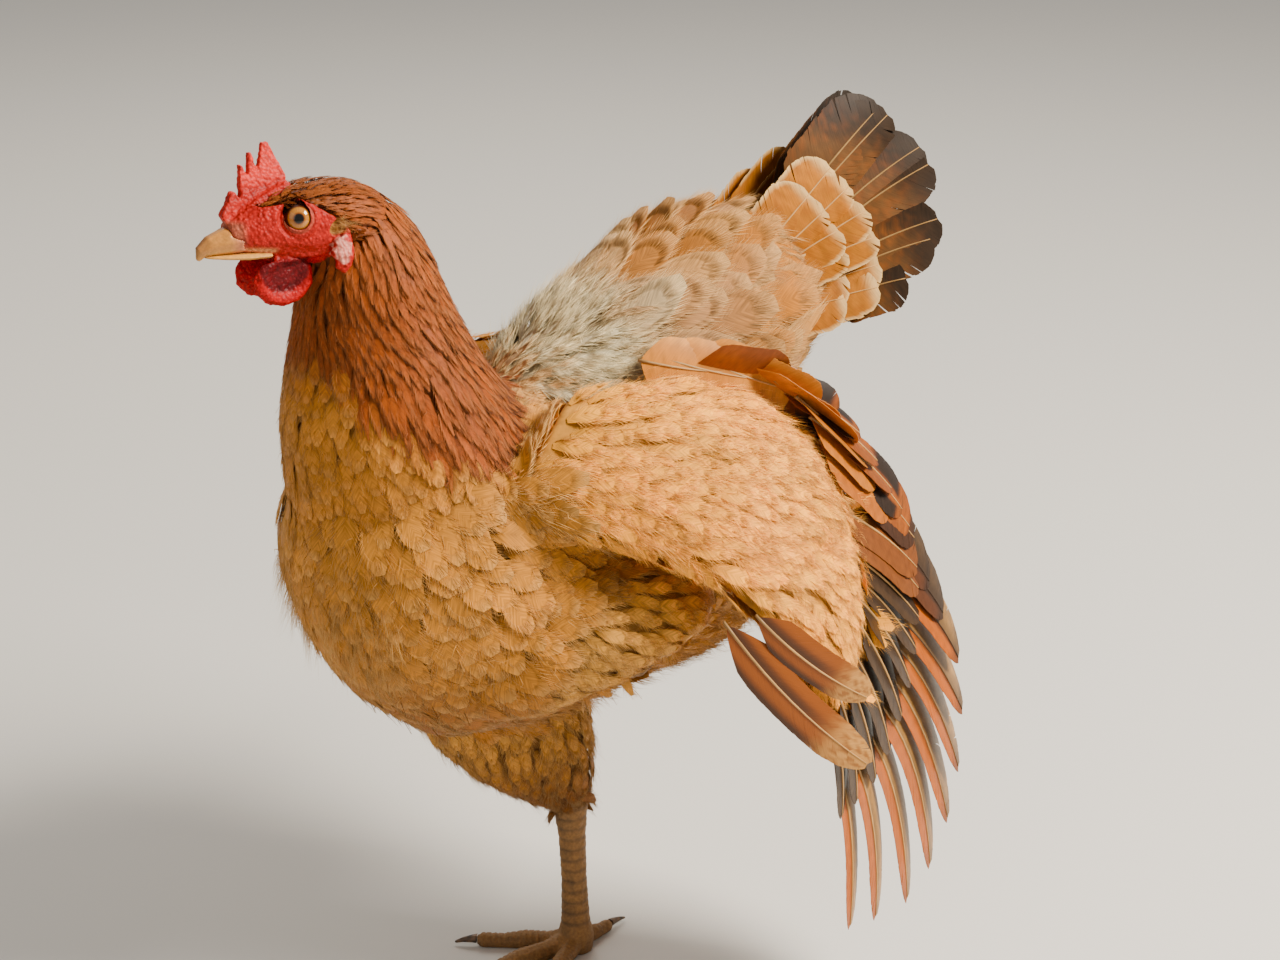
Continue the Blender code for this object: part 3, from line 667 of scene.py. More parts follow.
def joined(*meshes):
    """The union of closed meshes as one mesh, each keeping its own finish."""
    whole, *others = [placed("work", mesh) for mesh in meshes]
    for other in others:
        step = whole.modifiers.new("union", "BOOLEAN")
        step.operation = "UNION"
        step.solver = "MANIFOLD"
        step.material_mode = "TRANSFER"
        step.object = other
    result = bpy.data.meshes.new_from_object(whole.evaluated_get(bpy.context.evaluated_depsgraph_get()))
    for ob in (whole, *others):
        bpy.data.objects.remove(ob)
    # points made where the meshes meet are white: each takes its nearest neighbour's tone
    tones, points = read(result.attributes["tone"].data, "color", 4)[:, :3], corners(result)
    blank = tones.min(1) > 0.99
    for k in np.flatnonzero(blank):
        tones[k] = tones[~blank][np.argmin(((points[~blank] - points[k]) ** 2).sum(1))]
    tint(result, tones)
    return result


for mesh, finish in ((body, UNDER), (head, BARE), (legs, SCUTE)):
    mesh.materials.clear()
    mesh.materials.append(finish)
hide = joined(body, head, legs)  # the coat is planted on this one
thinned = shaped(body, ("DECIMATE", {"ratio": 0.25}))  # all of it lies under the coat
skin = shown("skin", joined(thinned, head, legs))
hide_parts(*PARTS, *LEGS, "comb", "wattle_left", "wattle_right", "earlobe_left", "earlobe_right")

# ---------------------------------------------------------------- eyes, bill and claws

PUPIL, IRIS, IRIS_EDGE = 0.00205, 0.0049, 0.0054  # distances from the axis of the eye
PUPIL_BLACK = hex_colour("080605")
IRIS_GOLD = hex_colour("B06E1C")
IRIS_INNER = hex_colour("6E340C")
IRIS_RIM = hex_colour("4A220E")
BALL_DARK = hex_colour("2A120B")


def eye(side):
    """A fine eyeball with its bulging cornea; rings and fine rays are stored as tones."""
    bm = bmesh.new()
    bmesh.ops.create_uvsphere(bm, u_segments=96, v_segments=72, radius=1.0)
    turn = Vector(EYE_AXES[side]).to_track_quat("Z", "Y").to_matrix()
    mesh = made(bm)
    points = corners(mesh)
    ring = np.hypot(points[:, 0], points[:, 1]) * EYE_RADIUS
    angle = np.arctan2(points[:, 1], points[:, 0])
    front = points[:, 2] > 0
    ray = 0.5 + 0.5 * np.sin(angle * 34 + 1.5 * np.sin(angle * 9))
    tone = mix(IRIS_INNER, IRIS_GOLD, ease(PUPIL, PUPIL + 0.0011, ring)) * (0.85 + 0.25 * ray[:, None])
    tone = mix(tone, IRIS_RIM, ease(IRIS - 0.0005, IRIS + 0.0002, ring))
    tone = mix(tone, BALL_DARK, ease(IRIS_EDGE - 0.0004, IRIS_EDGE + 0.0004, ring))
    tone = mix(tone, PUPIL_BLACK, ease(PUPIL + 0.00018, PUPIL - 0.00012, ring) * front)
    tone = np.where(front[:, None], tone, BALL_DARK)
    bulge = 1 + 0.020 * ease(IRIS_EDGE, 0.0, ring) * front
    put(mesh, (points * bulge[:, None]) @ np.array(turn).T * EYE_RADIUS + EYES[side])
    tint(mesh, tone)
    piece = shown(f"eye_{side}_ball", mesh, EYE_FINISH)
    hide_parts(f"eye_{side}")


def eye_finish():
    """A wet cornea over the iris: mirror smooth, with one sharp highlight."""
    wet = {"Specular_IOR_Level": 0.35, "Coat_Weight": 0.5, "Coat_Roughness": 0.02}
    material, tree, shader = finish_of("wet_eye", 0.05, **wet)
    toned(tree, shader, 0.0004, 0.12)
    return material


def horn_finish(name, roughness):
    """Horn: waxy keratin grown in fine layers along the bill or claw, faintly see-through."""
    waxy = {"Subsurface_Weight": 0.05, "Subsurface_Scale": 0.001, "Specular_IOR_Level": 0.4}
    material, tree, shader = finish_of(name, roughness, **waxy)
    place = toned(tree, shader, 0.0009, 0.14)[1]
    grow = add(tree, "ShaderNodeMapping", [("Vector", place)], Scale=(350, 1600, 1600))
    layers = add(tree, "ShaderNodeTexNoise", [("Vector", grow.outputs["Vector"])], Scale=1.0, Detail=3.0)
    embossed(tree, shader, layers.outputs["Fac"], 0.35, 0.00015)
    return material


EYE_FINISH = eye_finish()
BILL_HORN = horn_finish("bill_horn", 0.38)
CLAW_HORN = horn_finish("claw_horn", 0.45)
for side in EYES:
    eye(side)

HORN = hex_colour("B87A34")
HORN_PALE = hex_colour("CE9242")
HORN_DARK = hex_colour("8A5A30")
NOSTRIL = np.array((-0.1722, 0.0054, 0.3972))

bill = fused(copy_of("bill_upper"), BILL_GRAIN, 5)
points, normals = corners(bill), directions(bill)
x, y, z = points.T
low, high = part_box("bill_upper")
slit = np.hypot((x - NOSTRIL[0] - 0.5 * (z - NOSTRIL[2])) / 0.0019, (z - NOSTRIL[2] - 0.22 * (x - NOSTRIL[0])) / 0.0006)
flap = np.hypot((x - NOSTRIL[0]) / 0.0028, (z - NOSTRIL[2] - 0.0013) / 0.0009)
ridge = ease(0.0022, 0.0008, abs(y)) * (normals[:, 2] > 0.3)
move = -0.0009 * np.exp(-(slit**2)) + 0.0004 * np.exp(-(flap**2)) * (abs(y) > 0.003) + 0.0002 * ridge
put(bill, points + normals * move[:, None])
tone = mix(HORN, HORN_PALE, 0.7 * ease(0.0045, 0.0015, z - low.z - 0.0012))
tone = mix(tone, HORN_DARK, 0.55 * ease(-0.182, -0.187, x) * ease(0.0, 0.003, z - low.z) + 0.35 * ridge)
tone = mix(tone, BILL_ROOT_PINK, 0.75 * ease(-0.177, -0.1715, x))
# painted shade: the shallow nostril slit is painted near black, as the shade inside an opening
tone = mix(tone, LID_EDGE, 0.9 * np.exp(-(slit**2)) * (abs(y) > 0.003))
tint(bill, tone * (1 + 0.08 * ripple(points, 0.003, 41))[:, None])
piece = shown("bill_upper_horn", bill, BILL_HORN)
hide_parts("bill_upper")

bill = fused(copy_of("bill_lower"), BILL_GRAIN, 5)
points = corners(bill)
low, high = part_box("bill_lower")
points[:, 2] = high.z + 0.0006 - (high.z - points[:, 2]) * 0.62
put(bill, points)
tone = mix(HORN_PALE, HORN, ease(0.0008, 0.0035, high.z - points[:, 2]))
tone = mix(tone, HORN_DARK, 0.4 * ease(-0.182, -0.187, points[:, 0]))
tint(bill, tone * (1 + 0.08 * ripple(points, 0.003, 42))[:, None])
piece = shown("bill_lower_horn", bill, BILL_HORN)
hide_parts("bill_lower")

CLAW_DARK = hex_colour("2E231B")
CLAW_PALE = hex_colour("6E5238")
for side in EYES:
    names = [f"claw_{side}_{toe}" for toe in ("inner", "middle", "outer", "back")]
    claws = fused(copy_of(*names), CLAW_GRAIN, 3)
    points = corners(claws)
    tint(claws, mix(CLAW_DARK, CLAW_PALE, 0.5 + 0.5 * ripple(points, 0.004, 43)))
    piece = shown(f"claws_{side}_horn", claws, CLAW_HORN)
    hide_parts(*names)

# ---------------------------------------------------------------- feathers: their shapes

VANE_THICK = 0.022  # of a vane, as a share of its half width
VANE_PARTS = 6  # along a vane
LOOSE_FROM = 90  # the number of the first loose barb


def strip_of(bm):
    """The bmesh's points and triangles as arrays."""
    bmesh.ops.triangulate(bm, faces=bm.faces)
    bm.verts.index_update()
    points = np.array([v.co[:] for v in bm.verts])
    faces = np.array([[v.index for v in f.verts] for f in bm.faces])
    bm.free()
    return points, faces


def sheet(along, across, thick):
    """A closed flat sheet, 1 by 1, in parts along and across."""
    bm = bmesh.new()
    bmesh.ops.create_grid(bm, x_segments=along, y_segments=across, size=0.5)
    bmesh.ops.solidify(bm, geom=bm.faces[:], thickness=thick)
    bmesh.ops.recalc_face_normals(bm, faces=bm.faces)
    points, faces = strip_of(bm)
    return points + (0.5, 0, 0), faces


def rod(parts, sides, root, tip):
    """A closed rod, 1 long, in parts along, with its radius at root and tip."""
    bm = bmesh.new()
    bmesh.ops.create_cone(bm, cap_ends=True, segments=sides, radius1=root, radius2=tip, depth=1)
    for k in range(1, parts):
        cut = bm.verts[:] + bm.edges[:] + bm.faces[:]
        bmesh.ops.bisect_plane(bm, geom=cut, plane_co=(0, 0, k / parts - 0.5), plane_no=(0, 0, 1))
    points, faces = strip_of(bm)
    return points + (0, 0, 0.5), faces


def repeated(faces, count, size):
    """The faces of count copies of a pattern that has size points."""
    return (faces[None] + np.arange(count)[:, None, None] * size).reshape(-1, 3)


def chained(points, faces):
    """Several sets of points, each with its own faces, as one set."""
    starts = np.cumsum([0, *(len(own) for own in points[:-1])])
    return np.vstack(points), np.vstack([own + start for own, start in zip(faces, starts)])


def pattern_of(pieces):
    """Several sets of points, faces, tones, strand numbers, edge shares and rims as one pattern."""
    points, faces, *rest = zip(*pieces)
    names = ("at", "faces", "tone", "strand", "edge", "rim")
    return dict(zip(names, (*chained(points, faces), *(np.concatenate(rows) for rows in rest))))


def blade(outline, across, ragged, draw):
    """A closed thin vane, 1 long: (along, across, up), drawn in to its outline with a ragged rim."""
    points, faces = sheet(VANE_PARTS, across, VANE_THICK)
    rim = np.ptp(points[faces][:, :, 2], axis=1) > VANE_THICK / 2
    edge = abs(points[:, 1]) > 0.49
    station = np.round(points[:, 0] * VANE_PARTS).astype(int) * 2 + (points[:, 1] > 0)
    nick = draw.uniform(1 - ragged, 1.0, 2 * VANE_PARTS + 2)[station]
    points[:, 1] *= 2 * np.interp(points[:, 0], *np.array(outline).T) * np.where(edge, nick, 1)
    points[:, 0] += 0.10 * (1 - points[:, 1] ** 2) * (points[:, 0] > 0.99)
    return points, faces, rim


def barbs(starts, ends, thick, bow, parts, number, tone, edge, shades=0.0):
    """Many barbs from starts to ends, bowed sideways, numbered on; tone and edge are at the root and what is added."""
    points, faces = rod(parts, 3, 0.5, 0.0)
    reach = points[:, 2][None, :, None]
    line = starts[:, None] + (ends - starts)[:, None] * reach + bow[:, None] * (4 * reach * (1 - reach))
    line = line + np.stack([points[:, 0] * 0.3, points[:, 0], points[:, 1]], 1)[None] * thick
    count = len(starts)
    along = np.tile(points[:, 2], count)
    faces = repeated(faces, count, len(points))
    strand = np.repeat(np.arange(number, number + count), len(points))
    tones = tone[0] + tone[1] * along + np.repeat(shades, len(along) // np.size(shades))
    return line.reshape(-1, 3), faces, tones, strand, edge[0] + edge[1] * along, np.zeros(len(faces), bool)


def feather(draw, outline, across, core, fringe, loose, fine, fray, curl):
    """One pattern of feather: (along, across, up) for each point, with its faces, tones and edge shares.

    core is the share of the width that is closed vane, fringe the number of barbs along its rim, loose
    the number of loose barbs over it, fine their thickness, fray how unevenly they end and curl how far
    they lift.
    """
    outline = np.array(outline)
    points, faces, rim = blade([(s, w * core) for s, w in outline], across, 0.5 * fray, draw)
    points[:, 0] *= 0.55 + 0.40 * core
    width = np.maximum(np.interp(points[:, 0], *outline.T), 0.05)
    out = np.maximum(abs(points[:, 1]) / width, points[:, 0])
    ray = 1 + 0.05 * np.sin(points[:, 0] * 40 + abs(points[:, 1]) * 30)
    tone = (0.80 + 0.20 * ease(0.2, 0.7, points[:, 0])) * ray
    pieces = [(points, faces, tone, 0 * width, ease(0.70, 1.0, out) * 0.5, rim)]
    # the fringe follows the outline from low on one side round the end to the other side
    path = np.vstack([outline, outline[::-1] * (1, -1)])
    walk = np.cumsum(np.hypot(*(np.diff(path, axis=0, prepend=path[:1]) * (2.4, 1)).T))
    spots = np.linspace(0.12, 0.88, fringe) * walk[-1] + draw.normal(0, 0.012, fringe)
    s, t = (np.interp(spots, walk, row) for row in path.T)
    grow = draw.uniform(1 - fray, 1 + 0.6 * fray, fringe)
    start = np.stack([s * (0.45 + 0.35 * core), t * core * 0.70, np.full(fringe, -0.01)], 1)
    lifted = draw.normal(0, 0.03 + 0.10 * fray, fringe) + curl * s**2
    end = np.stack([s * (0.96 + 0.06 * grow) + 0.03 * abs(t), t * grow, lifted], 1)
    bow = np.stack([draw.normal(0, spread, fringe) for spread in (0.02, 0.05 * fray, 0.03)], 1)
    bow += np.stack([np.full(fringe, -0.02), 0.05 * t, 0 * t], 1)
    shades = draw.normal(0, 0.09, fringe)
    pieces.append(barbs(start, end, fine, bow, 1, 1, (0.94, 0.10), (0.4, 0.6), shades))
    if loose:
        s, t = draw.uniform(0.25, 0.85, loose), draw.uniform(-0.6, 0.6, loose)
        start = np.stack([s, t, np.zeros(loose)], 1)
        ahead, aside = s + draw.uniform(0.12, 0.32, loose), t + draw.normal(0, 0.45, loose)
        end = np.stack([ahead, aside, draw.uniform(0.05, 0.35, loose)], 1)
        bow = draw.normal(0, 0.10, (loose, 3))
        pieces.append(barbs(start, end, fine, bow, 2, LOOSE_FROM, (0.95, 0.12), (0.3, 0.7)))
    return pattern_of(pieces)


def wisp(draw, count, apart, lift, thick):
    """A tuft of down: barbs from one root, curling apart."""
    start = np.stack([draw.uniform(0, 0.15, count), draw.normal(0, 0.05, count), np.zeros(count)], 1)
    ends = draw.uniform(0.45, 1.05, count), draw.normal(0, apart, count), draw.uniform(0, lift, count)
    bow = draw.normal(0, 0.10, (count, 3))
    return pattern_of([barbs(start, np.stack(ends, 1), thick, bow, 2, 1, (0.72, 0.34), (0.0, 1.0))])


# A feather's outline: share of its length, half width as a share of its greatest
ROUND = ((0.0, 0.30), (0.20, 0.72), (0.50, 1.0), (0.78, 0.96), (0.92, 0.70), (1.0, 0.34))
POINTED = ((0.0, 0.40), (0.20, 0.85), (0.50, 1.0), (0.75, 0.80), (0.92, 0.45), (1.0, 0.14))
SHAPES = {
    # kind: (outline, faces across, closed share of width, fringe, loose barbs, thickness, fray, curl)
    "scale": (ROUND, 4, 0.72, 52, 1, 0.044, 0.24, 0.02),
    "hackle": (POINTED, 2, 0.60, 32, 1, 0.085, 0.32, 0.02),
    "covert": (ROUND, 4, 0.60, 46, 5, 0.050, 0.34, 0.08),
    "worn": (POINTED, 2, 0.46, 38, 10, 0.060, 0.45, 0.10),
    "plume": (ROUND, 4, 0.84, 92, 0, 0.026, 0.12, 0.10),
    "tiny": (POINTED, 2, 0.80, 10, 0, 0.16, 0.25, 0.03),
}
VARIANTS = 6
PATTERNS = {kind: [feather(DRAW, *shape) for _ in range(VARIANTS)] for kind, shape in SHAPES.items()}
PATTERNS["wisp"] = [wisp(DRAW, 24, 0.34, 0.45, 0.022) for _ in range(VARIANTS)]


def piece_of(name, batches, finish):
    """A piece of plumage from batches of points, faces, rims, tones, lies and places on the baked map.

    A lie is a point's place along and across its barbs, and each corner of a face has its place on the
    map. The edges of the rims are sharp, so that a vane's shading stays even out to its edge.
    """
    points, faces, *rest = zip(*batches)
    points, faces = chained(points, faces)
    rims, tones, lies, places = (np.concatenate(rows) for rows in rest)
    mesh = bpy.data.meshes.new(name)
    mesh.vertices.add(len(points))
    mesh.vertices.foreach_set("co", points.astype(np.float32).ravel())
    mesh.loops.add(faces.size)
    mesh.loops.foreach_set("vertex_index", faces.astype(np.int32).ravel())
    mesh.polygons.add(len(faces))
    mesh.polygons.foreach_set("loop_start", np.arange(0, faces.size, 3, dtype=np.int32))
    mesh.update(calc_edges=True)
    tint(mesh, tones)
    mesh.attributes.new("lie", "FLOAT_VECTOR", "POINT").data.foreach_set("vector", lies.astype(np.float32).ravel())
    mesh.uv_layers.new(name="OFBake").data.foreach_set("uv", places.astype(np.float32).ravel())
    piece = shown(name, mesh, finish)
    sharp = np.zeros(len(mesh.edges), bool)
    sharp[read(mesh.loops, "edge_index", 1, np.int32).reshape(-1, 3)[rims]] = True
    mesh.attributes.new("sharp_edge", "BOOLEAN", "EDGE").data.foreach_set("value", sharp)
    return piece


# ---------------------------------------------------------------- feathers: their places

hide = shaped(hide, ("TRIANGULATE", {}))
hide_points = corners(hide)
hide_faces = np.array([face.vertices[:] for face in hide.polygons])
HIDE = BVHTree.FromPolygons(hide_points.tolist(), hide_faces.tolist())
HIDE_A, HIDE_B, HIDE_C = (hide_points[hide_faces[:, k]] for k in range(3))
STATIONS = 6  # along a feather
TRIAL_GAP = 0.0012  # between the places that are tried
CELL = 0.004  # of the grid in which the places taken are looked up
COAT_ROOT = 0.0004  # how high a feather starts over the skin
BAKE_PATCH = 0.003  # a feather's share of the baked map
STRAND_STEP, FEATHER_STEP = 0.0031, 0.013  # from barb to barb and from feather to feather, across the lie

# Where the feathers of some parts fan out from
LIE_SOURCES = {
    "wing_left_arm": (-0.150, -0.040, 0.330),
    "wing_left_hand": (-0.020, -0.105, 0.330),
    "saddle": (-0.030, 0.0, 0.300),
    "head": (-0.200, 0.0, 0.400),
}


def lie_of(points, normals, part):
    """The way in which the feathers point at each place of the skin."""
    x, z = points[:, 0], points[:, 2]
    trunk = mix(np.array((0.35, 0, -0.94)), np.array((0.95, 0, -0.30)), ease(-0.135, -0.02, x))
    trunk = mix(trunk, BACK, ease(0.275, 0.300, z) * ease(-0.12, -0.06, x))
    shoulder = ease(0.042, 0.022, np.linalg.norm(points - (-0.064, -0.066, 0.284), axis=1))
    trunk = mix(trunk, np.array((0.95, -0.25, -0.22)), shoulder)
    ways = {"neck": (0.265, 0.0, -0.964), "wing_right_arm": (1.0, 0.0, -0.08), "trunk": trunk}
    ways |= {"thigh_left": (0.92, 0.05, -0.38), "thigh_right": (0.30, 0.0, -0.95)}
    ways |= {name: unit(points - source) for name, source in LIE_SOURCES.items()}
    ways["head"] = ways["head"] + (0, 0, -0.25) * ease(-0.13, -0.11, x)[:, None]
    way = by_part(part, ways) + 0.16 * np.stack([ripple(points, 0.035, seed) for seed in (21, 22, 23)], 1)
    return unit(way - (way * normals).sum(1)[:, None] * normals)


def crowded(spot, home, taken, around, gap):
    """Whether a place that is taken lies nearer than the gap."""
    for i, j, k in around:
        for other in taken.get((home[0] + i, home[1] + j, home[2] + k), ()):
            if (spot[0] - other[0]) ** 2 + (spot[1] - other[1]) ** 2 + (spot[2] - other[2]) ** 2 < gap * gap:
                return True
    return False


def strewn(draw, gap, keep):
    """Places strewn evenly over the triangles to keep, the gap or more apart."""
    area = np.linalg.norm(np.cross(HIDE_B - HIDE_A, HIDE_C - HIDE_A), axis=1) / 2 * keep
    count = int(area.sum() / (TRIAL_GAP**2) / 1.2)
    pick = draw.choice(len(area), count, p=area / area.sum())
    u, v = draw.random(count), draw.random(count)
    flip = u + v > 1
    u, v = np.where(flip, 1 - u, u), np.where(flip, 1 - v, v)
    spots = HIDE_A[pick] + (HIDE_B - HIDE_A)[pick] * u[:, None] + (HIDE_C - HIDE_A)[pick] * v[:, None]
    span = range(-int(gap / CELL) - 1, int(gap / CELL) + 2)
    around = [(i, j, k) for i in span for j in span for k in span]
    taken, kept = {}, []
    for k, spot in enumerate(spots.tolist()):
        home = tuple(int(value // CELL) for value in spot)
        if not crowded(spot, home, taken, around, gap):
            taken.setdefault(home, []).append(spot)
            kept.append(k)
    return spots[kept]


def nearest_on_hide(points):
    """The nearest places of the skin and the ways out of it there."""
    found = [HIDE.find_nearest(Vector(point))[:2] for point in points]
    return tuple(np.array(rows) for rows in zip(*found))


def laid(roots, part, lengths, depth, stand):
    """The centre lines of feathers along the skin: places, up and side directions at each station."""
    place, up = roots, nearest_on_hide(roots)[1]
    way = lie_of(place, up, part)
    step = (lengths / (STATIONS - 1))[:, None]
    rows = [(place, up, way)]
    for _ in range(STATIONS - 1):
        ahead = place + way * step
        there, their = nearest_on_hide(ahead)
        off = ((their * up).sum(1) < 0.45)[:, None]  # past an edge of the skin the feather goes straight on
        place = np.where(off, ahead, there)
        up = np.where(off, up, unit(0.5 * up + 0.5 * their))
        way = np.where(off, way, unit(0.5 * way + 0.5 * lie_of(place, up, part)))
        rows.append((place, up, way))
    lines, ups, ways = (np.stack(row, 1) for row in zip(*rows))
    share = np.linspace(0, 1, STATIONS)
    rise = COAT_ROOT + (depth[:, None] - COAT_ROOT) * (share**0.20)[None] + stand[:, None] * (share**2.5)[None]
    return lines + ups * rise[..., None], ups, unit(np.cross(ups, ways))


def coat(name, kind, roots, part, lengths, widths, depth, stand, colours, edge, axis, draw):
    """A piece of the coat: feathers of one kind at their roots, bent along the skin."""
    rows = laid(roots, part, lengths, depth, stand)
    variant = draw.integers(0, VARIANTS, len(roots))
    spin = draw.normal(0, 0.10, len(roots))
    tall = draw.normal(0, 0.0002, len(roots))
    edge_tones = mix(colours, CREAM, 0.60) * 1.08
    spots = unwrapped(roots, axis)
    batches = []
    for k, pattern in enumerate(PATTERNS[kind]):
        chosen = np.flatnonzero(variant == k)
        if not len(chosen):
            continue
        s, t, h = pattern["at"].T[..., None]
        inside = np.clip(s, 0, 1)
        station = inside[:, 0] * (STATIONS - 1)
        i = np.minimum(station.astype(int), STATIONS - 2)
        share = (station - i)[:, None]
        centre, up, side = (row[chosen][:, i] * (1 - share) + row[chosen][:, i + 1] * share for row in rows)
        tip = unit(rows[0][chosen, -1] - rows[0][chosen, -2])[:, None]
        long, wide, turn, rise = (row[chosen][:, None, None] for row in (lengths, widths, spin, tall))
        points = centre + tip * ((s - inside) * long) + side * (wide * t + turn * s * long)
        points = points + up * (h * wide - 0.06 * abs(t) ** 2 * wide + rise)
        tones = colours[chosen][:, None] * pattern["tone"][:, None]
        tones = mix(tones, edge_tones[chosen][:, None], pattern["edge"] * edge)
        # barbs slant outwards on the vane, and each loose strand has a line of its own
        along, out, strand = (s * long)[..., 0], (abs(t) * wide)[..., 0], pattern["strand"]
        v = np.where(strand > 0, strand * STRAND_STEP, out * 0.80 - along * 0.60) + chosen[:, None] * FEATHER_STEP
        lies = np.stack([along * 0.80 + out * 0.60, v, 0 * v], -1)
        flat = np.clip(pattern["at"], (0, -1.2, -0.5), 1.2)
        patch = np.stack([0.5 * flat[:, 1] / 1.2, flat[:, 0] / 1.2 - 0.5], 1) * BAKE_PATCH
        patch[:, 0] += 0.0004 * np.minimum(flat[:, 2], 0.5)
        places = (spots[chosen][:, None] + patch)[:, pattern["faces"].ravel()].reshape(-1, 2)
        faces, rims = repeated(pattern["faces"], len(chosen), len(s)), np.tile(pattern["rim"], len(chosen))
        batches.append((points.reshape(-1, 3), faces, rims, tones.reshape(-1, 3), lies.reshape(-1, 3), places))
    return piece_of(name, batches, PLUMES)


def unwrapped(points, axis):
    """Places on a flat map: the angle round an axis through their middle and the place along it, fitted to the map."""
    reference = np.array((0, 0, 1) if axis == LEVEL else (1, 0, 0), float)
    axis = unit(np.array(axis, float))
    reference = unit(reference - axis * (reference @ axis))
    flat = points - points.mean(0)
    out = np.stack([np.arctan2(flat @ np.cross(axis, reference), flat @ reference), flat @ axis], 1)
    low, high = out.min(0), out.max(0)
    return 0.02 + 0.96 * (out - low) / np.maximum(high - low, 1e-6)


# ---------------------------------------------------------------- flight feathers

# From the innermost to the outermost: root, tip, leading web, trailing web
SECONDARIES_LEFT = (
    ((0.026, -0.058, 0.315), (0.070, -0.074, 0.305), 0.008, 0.011),
    ((0.061, -0.071, 0.305), (0.097, -0.090, 0.282), 0.008, 0.013),
    ((0.083, -0.089, 0.281), (0.114, -0.101, 0.247), 0.008, 0.013),
    ((0.091, -0.100, 0.256), (0.122, -0.106, 0.226), 0.008, 0.013),
)
PRIMARIES_LEFT = (
    ((0.086, -0.107, 0.240), (0.128, -0.111, 0.204), 0.006, 0.013),
    ((0.084, -0.116, 0.218), (0.142, -0.120, 0.158), 0.005, 0.013),
    ((0.079, -0.127, 0.193), (0.131, -0.131, 0.100), 0.005, 0.012),
    ((0.062, -0.139, 0.168), (0.098, -0.142, 0.062), 0.005, 0.011),
    ((0.040, -0.149, 0.158), (0.052, -0.151, 0.062), 0.004, 0.009),
)
ALULA_LEFT = (
    ((0.000, -0.144, 0.229), (0.052, -0.160, 0.182), 0.006, 0.008),
    ((-0.013, -0.138, 0.227), (0.050, -0.164, 0.151), 0.008, 0.008),
)
SECONDARIES_RIGHT = (
    ((0.064, 0.050, 0.300), (0.110, 0.036, 0.306), 0.005, 0.010),
    ((0.074, 0.060, 0.272), (0.120, 0.042, 0.282), 0.006, 0.011),
    ((0.071, 0.067, 0.246), (0.114, 0.052, 0.256), 0.006, 0.011),
)
PRIMARIES_RIGHT = (
    ((0.068, 0.070, 0.232), (0.122, 0.048, 0.236), 0.005, 0.009),
    ((0.046, 0.077, 0.212), (0.100, 0.057, 0.208), 0.005, 0.009),
)
TAIL_HALF = (
    ((0.1212, -0.0080, 0.3617), (0.174, -0.0090, 0.4075), 0.013, 0.016),
    ((0.1333, -0.0105, 0.3470), (0.192, -0.022, 0.385), 0.013, 0.016),
    ((0.1310, -0.0215, 0.3345), (0.183, -0.045, 0.358), 0.013, 0.016),
    ((0.1260, -0.0290, 0.3200), (0.158, -0.052, 0.334), 0.012, 0.014),
)
# Half width of a web along the feather, as a share of its greatest
QUILL_OUTLINE = ((0.0, 0.35), (0.12, 0.80), (0.30, 0.98), (0.78, 1.0), (0.90, 0.82), (0.97, 0.52), (1.0, 0.22))
BARB_BANDS = 26  # bands of barbs in each web
BARB_SLANT = 0.19  # how far ahead of its root a barb ends, as a share of the feather
BAND_THICK = 0.1  # of the pattern of a band
SHAFT = (0.00095, 0.00028)  # half thickness at the root and at the tip
WEB = 0.00020  # thickness of a web
KEY_STEPS = 8  # between two keys
ORANGE = hex_colour("A04C00")
GREY_BROWN = hex_colour("4E3518")
DARK = hex_colour("2A1D14")
RUST = hex_colour("86440C")
TAN = hex_colour("C08A44")
QUILL_PALE = hex_colour("B88C54")
TAIL_BROWN = hex_colour("5A3A1A")
TAIL_GREY = hex_colour("241A11")
CHESTNUT = hex_colour("8A440E")
BAND, BAND_FACES = sheet(6, 1, BAND_THICK)
ROD, ROD_FACES = rod(10, 7, 1, 1)


def read_along(keys, places):
    """The keys read off at places along a smooth curve, with the direction towards the next outer root."""
    fine = smoothed([(*root, *tip, lead, trail) for root, tip, lead, trail in keys], KEY_STEPS)
    place = np.asarray(places) * KEY_STEPS
    i = np.minimum(place.astype(int), len(fine) - 2)
    rows = fine[i] + (fine[i + 1] - fine[i]) * (place - i)[:, None]
    return rows, fine[i + 1, :3] - fine[i, :3]


def arched(draw, root, tip, outer_way, outward, tilt, bow):
    """A feather's length, and how to get from shares along, metres across and metres up to places on it."""
    length = np.linalg.norm(tip - root)
    along = (tip - root) / length
    face = unit(np.cross(along, outer_way))
    face = face if face @ outward > 0 else -face
    across = unit(np.cross(face, along))
    across = across if across @ outer_way < 0 else -across
    turned = across * cos(tilt) - face * sin(tilt)
    up = face * cos(tilt) + across * sin(tilt)
    sag = draw.uniform(0.02, 0.04)
    bulge = bow * draw.uniform(0.8, 1.2)

    def spot(s, t, h):
        centre = root + along * (s * length)[..., None] + up * (sag * length * 4 * s * (1 - s))[..., None]
        centre = centre + turned * (bulge * length * 4 * s * (1 - s))[..., None]
        return centre + turned * t[..., None] + up * h[..., None]

    return length, spot


def parted(draw, wear, splits):
    """How far each band of barbs is moved along the feather where the web has split."""
    moved = np.zeros(BARB_BANDS)
    for gap in draw.choice(np.arange(8, BARB_BANDS - 1), splits, replace=False):
        moved[gap:] += 0.010 * wear * draw.uniform(0.6, 1.6) * np.exp(-np.arange(BARB_BANDS - gap) / 4)
        moved[:gap] -= 0.006 * wear * np.exp(-np.arange(gap)[::-1] / 3)
    return moved + draw.normal(0, 0.0010 * wear, BARB_BANDS)


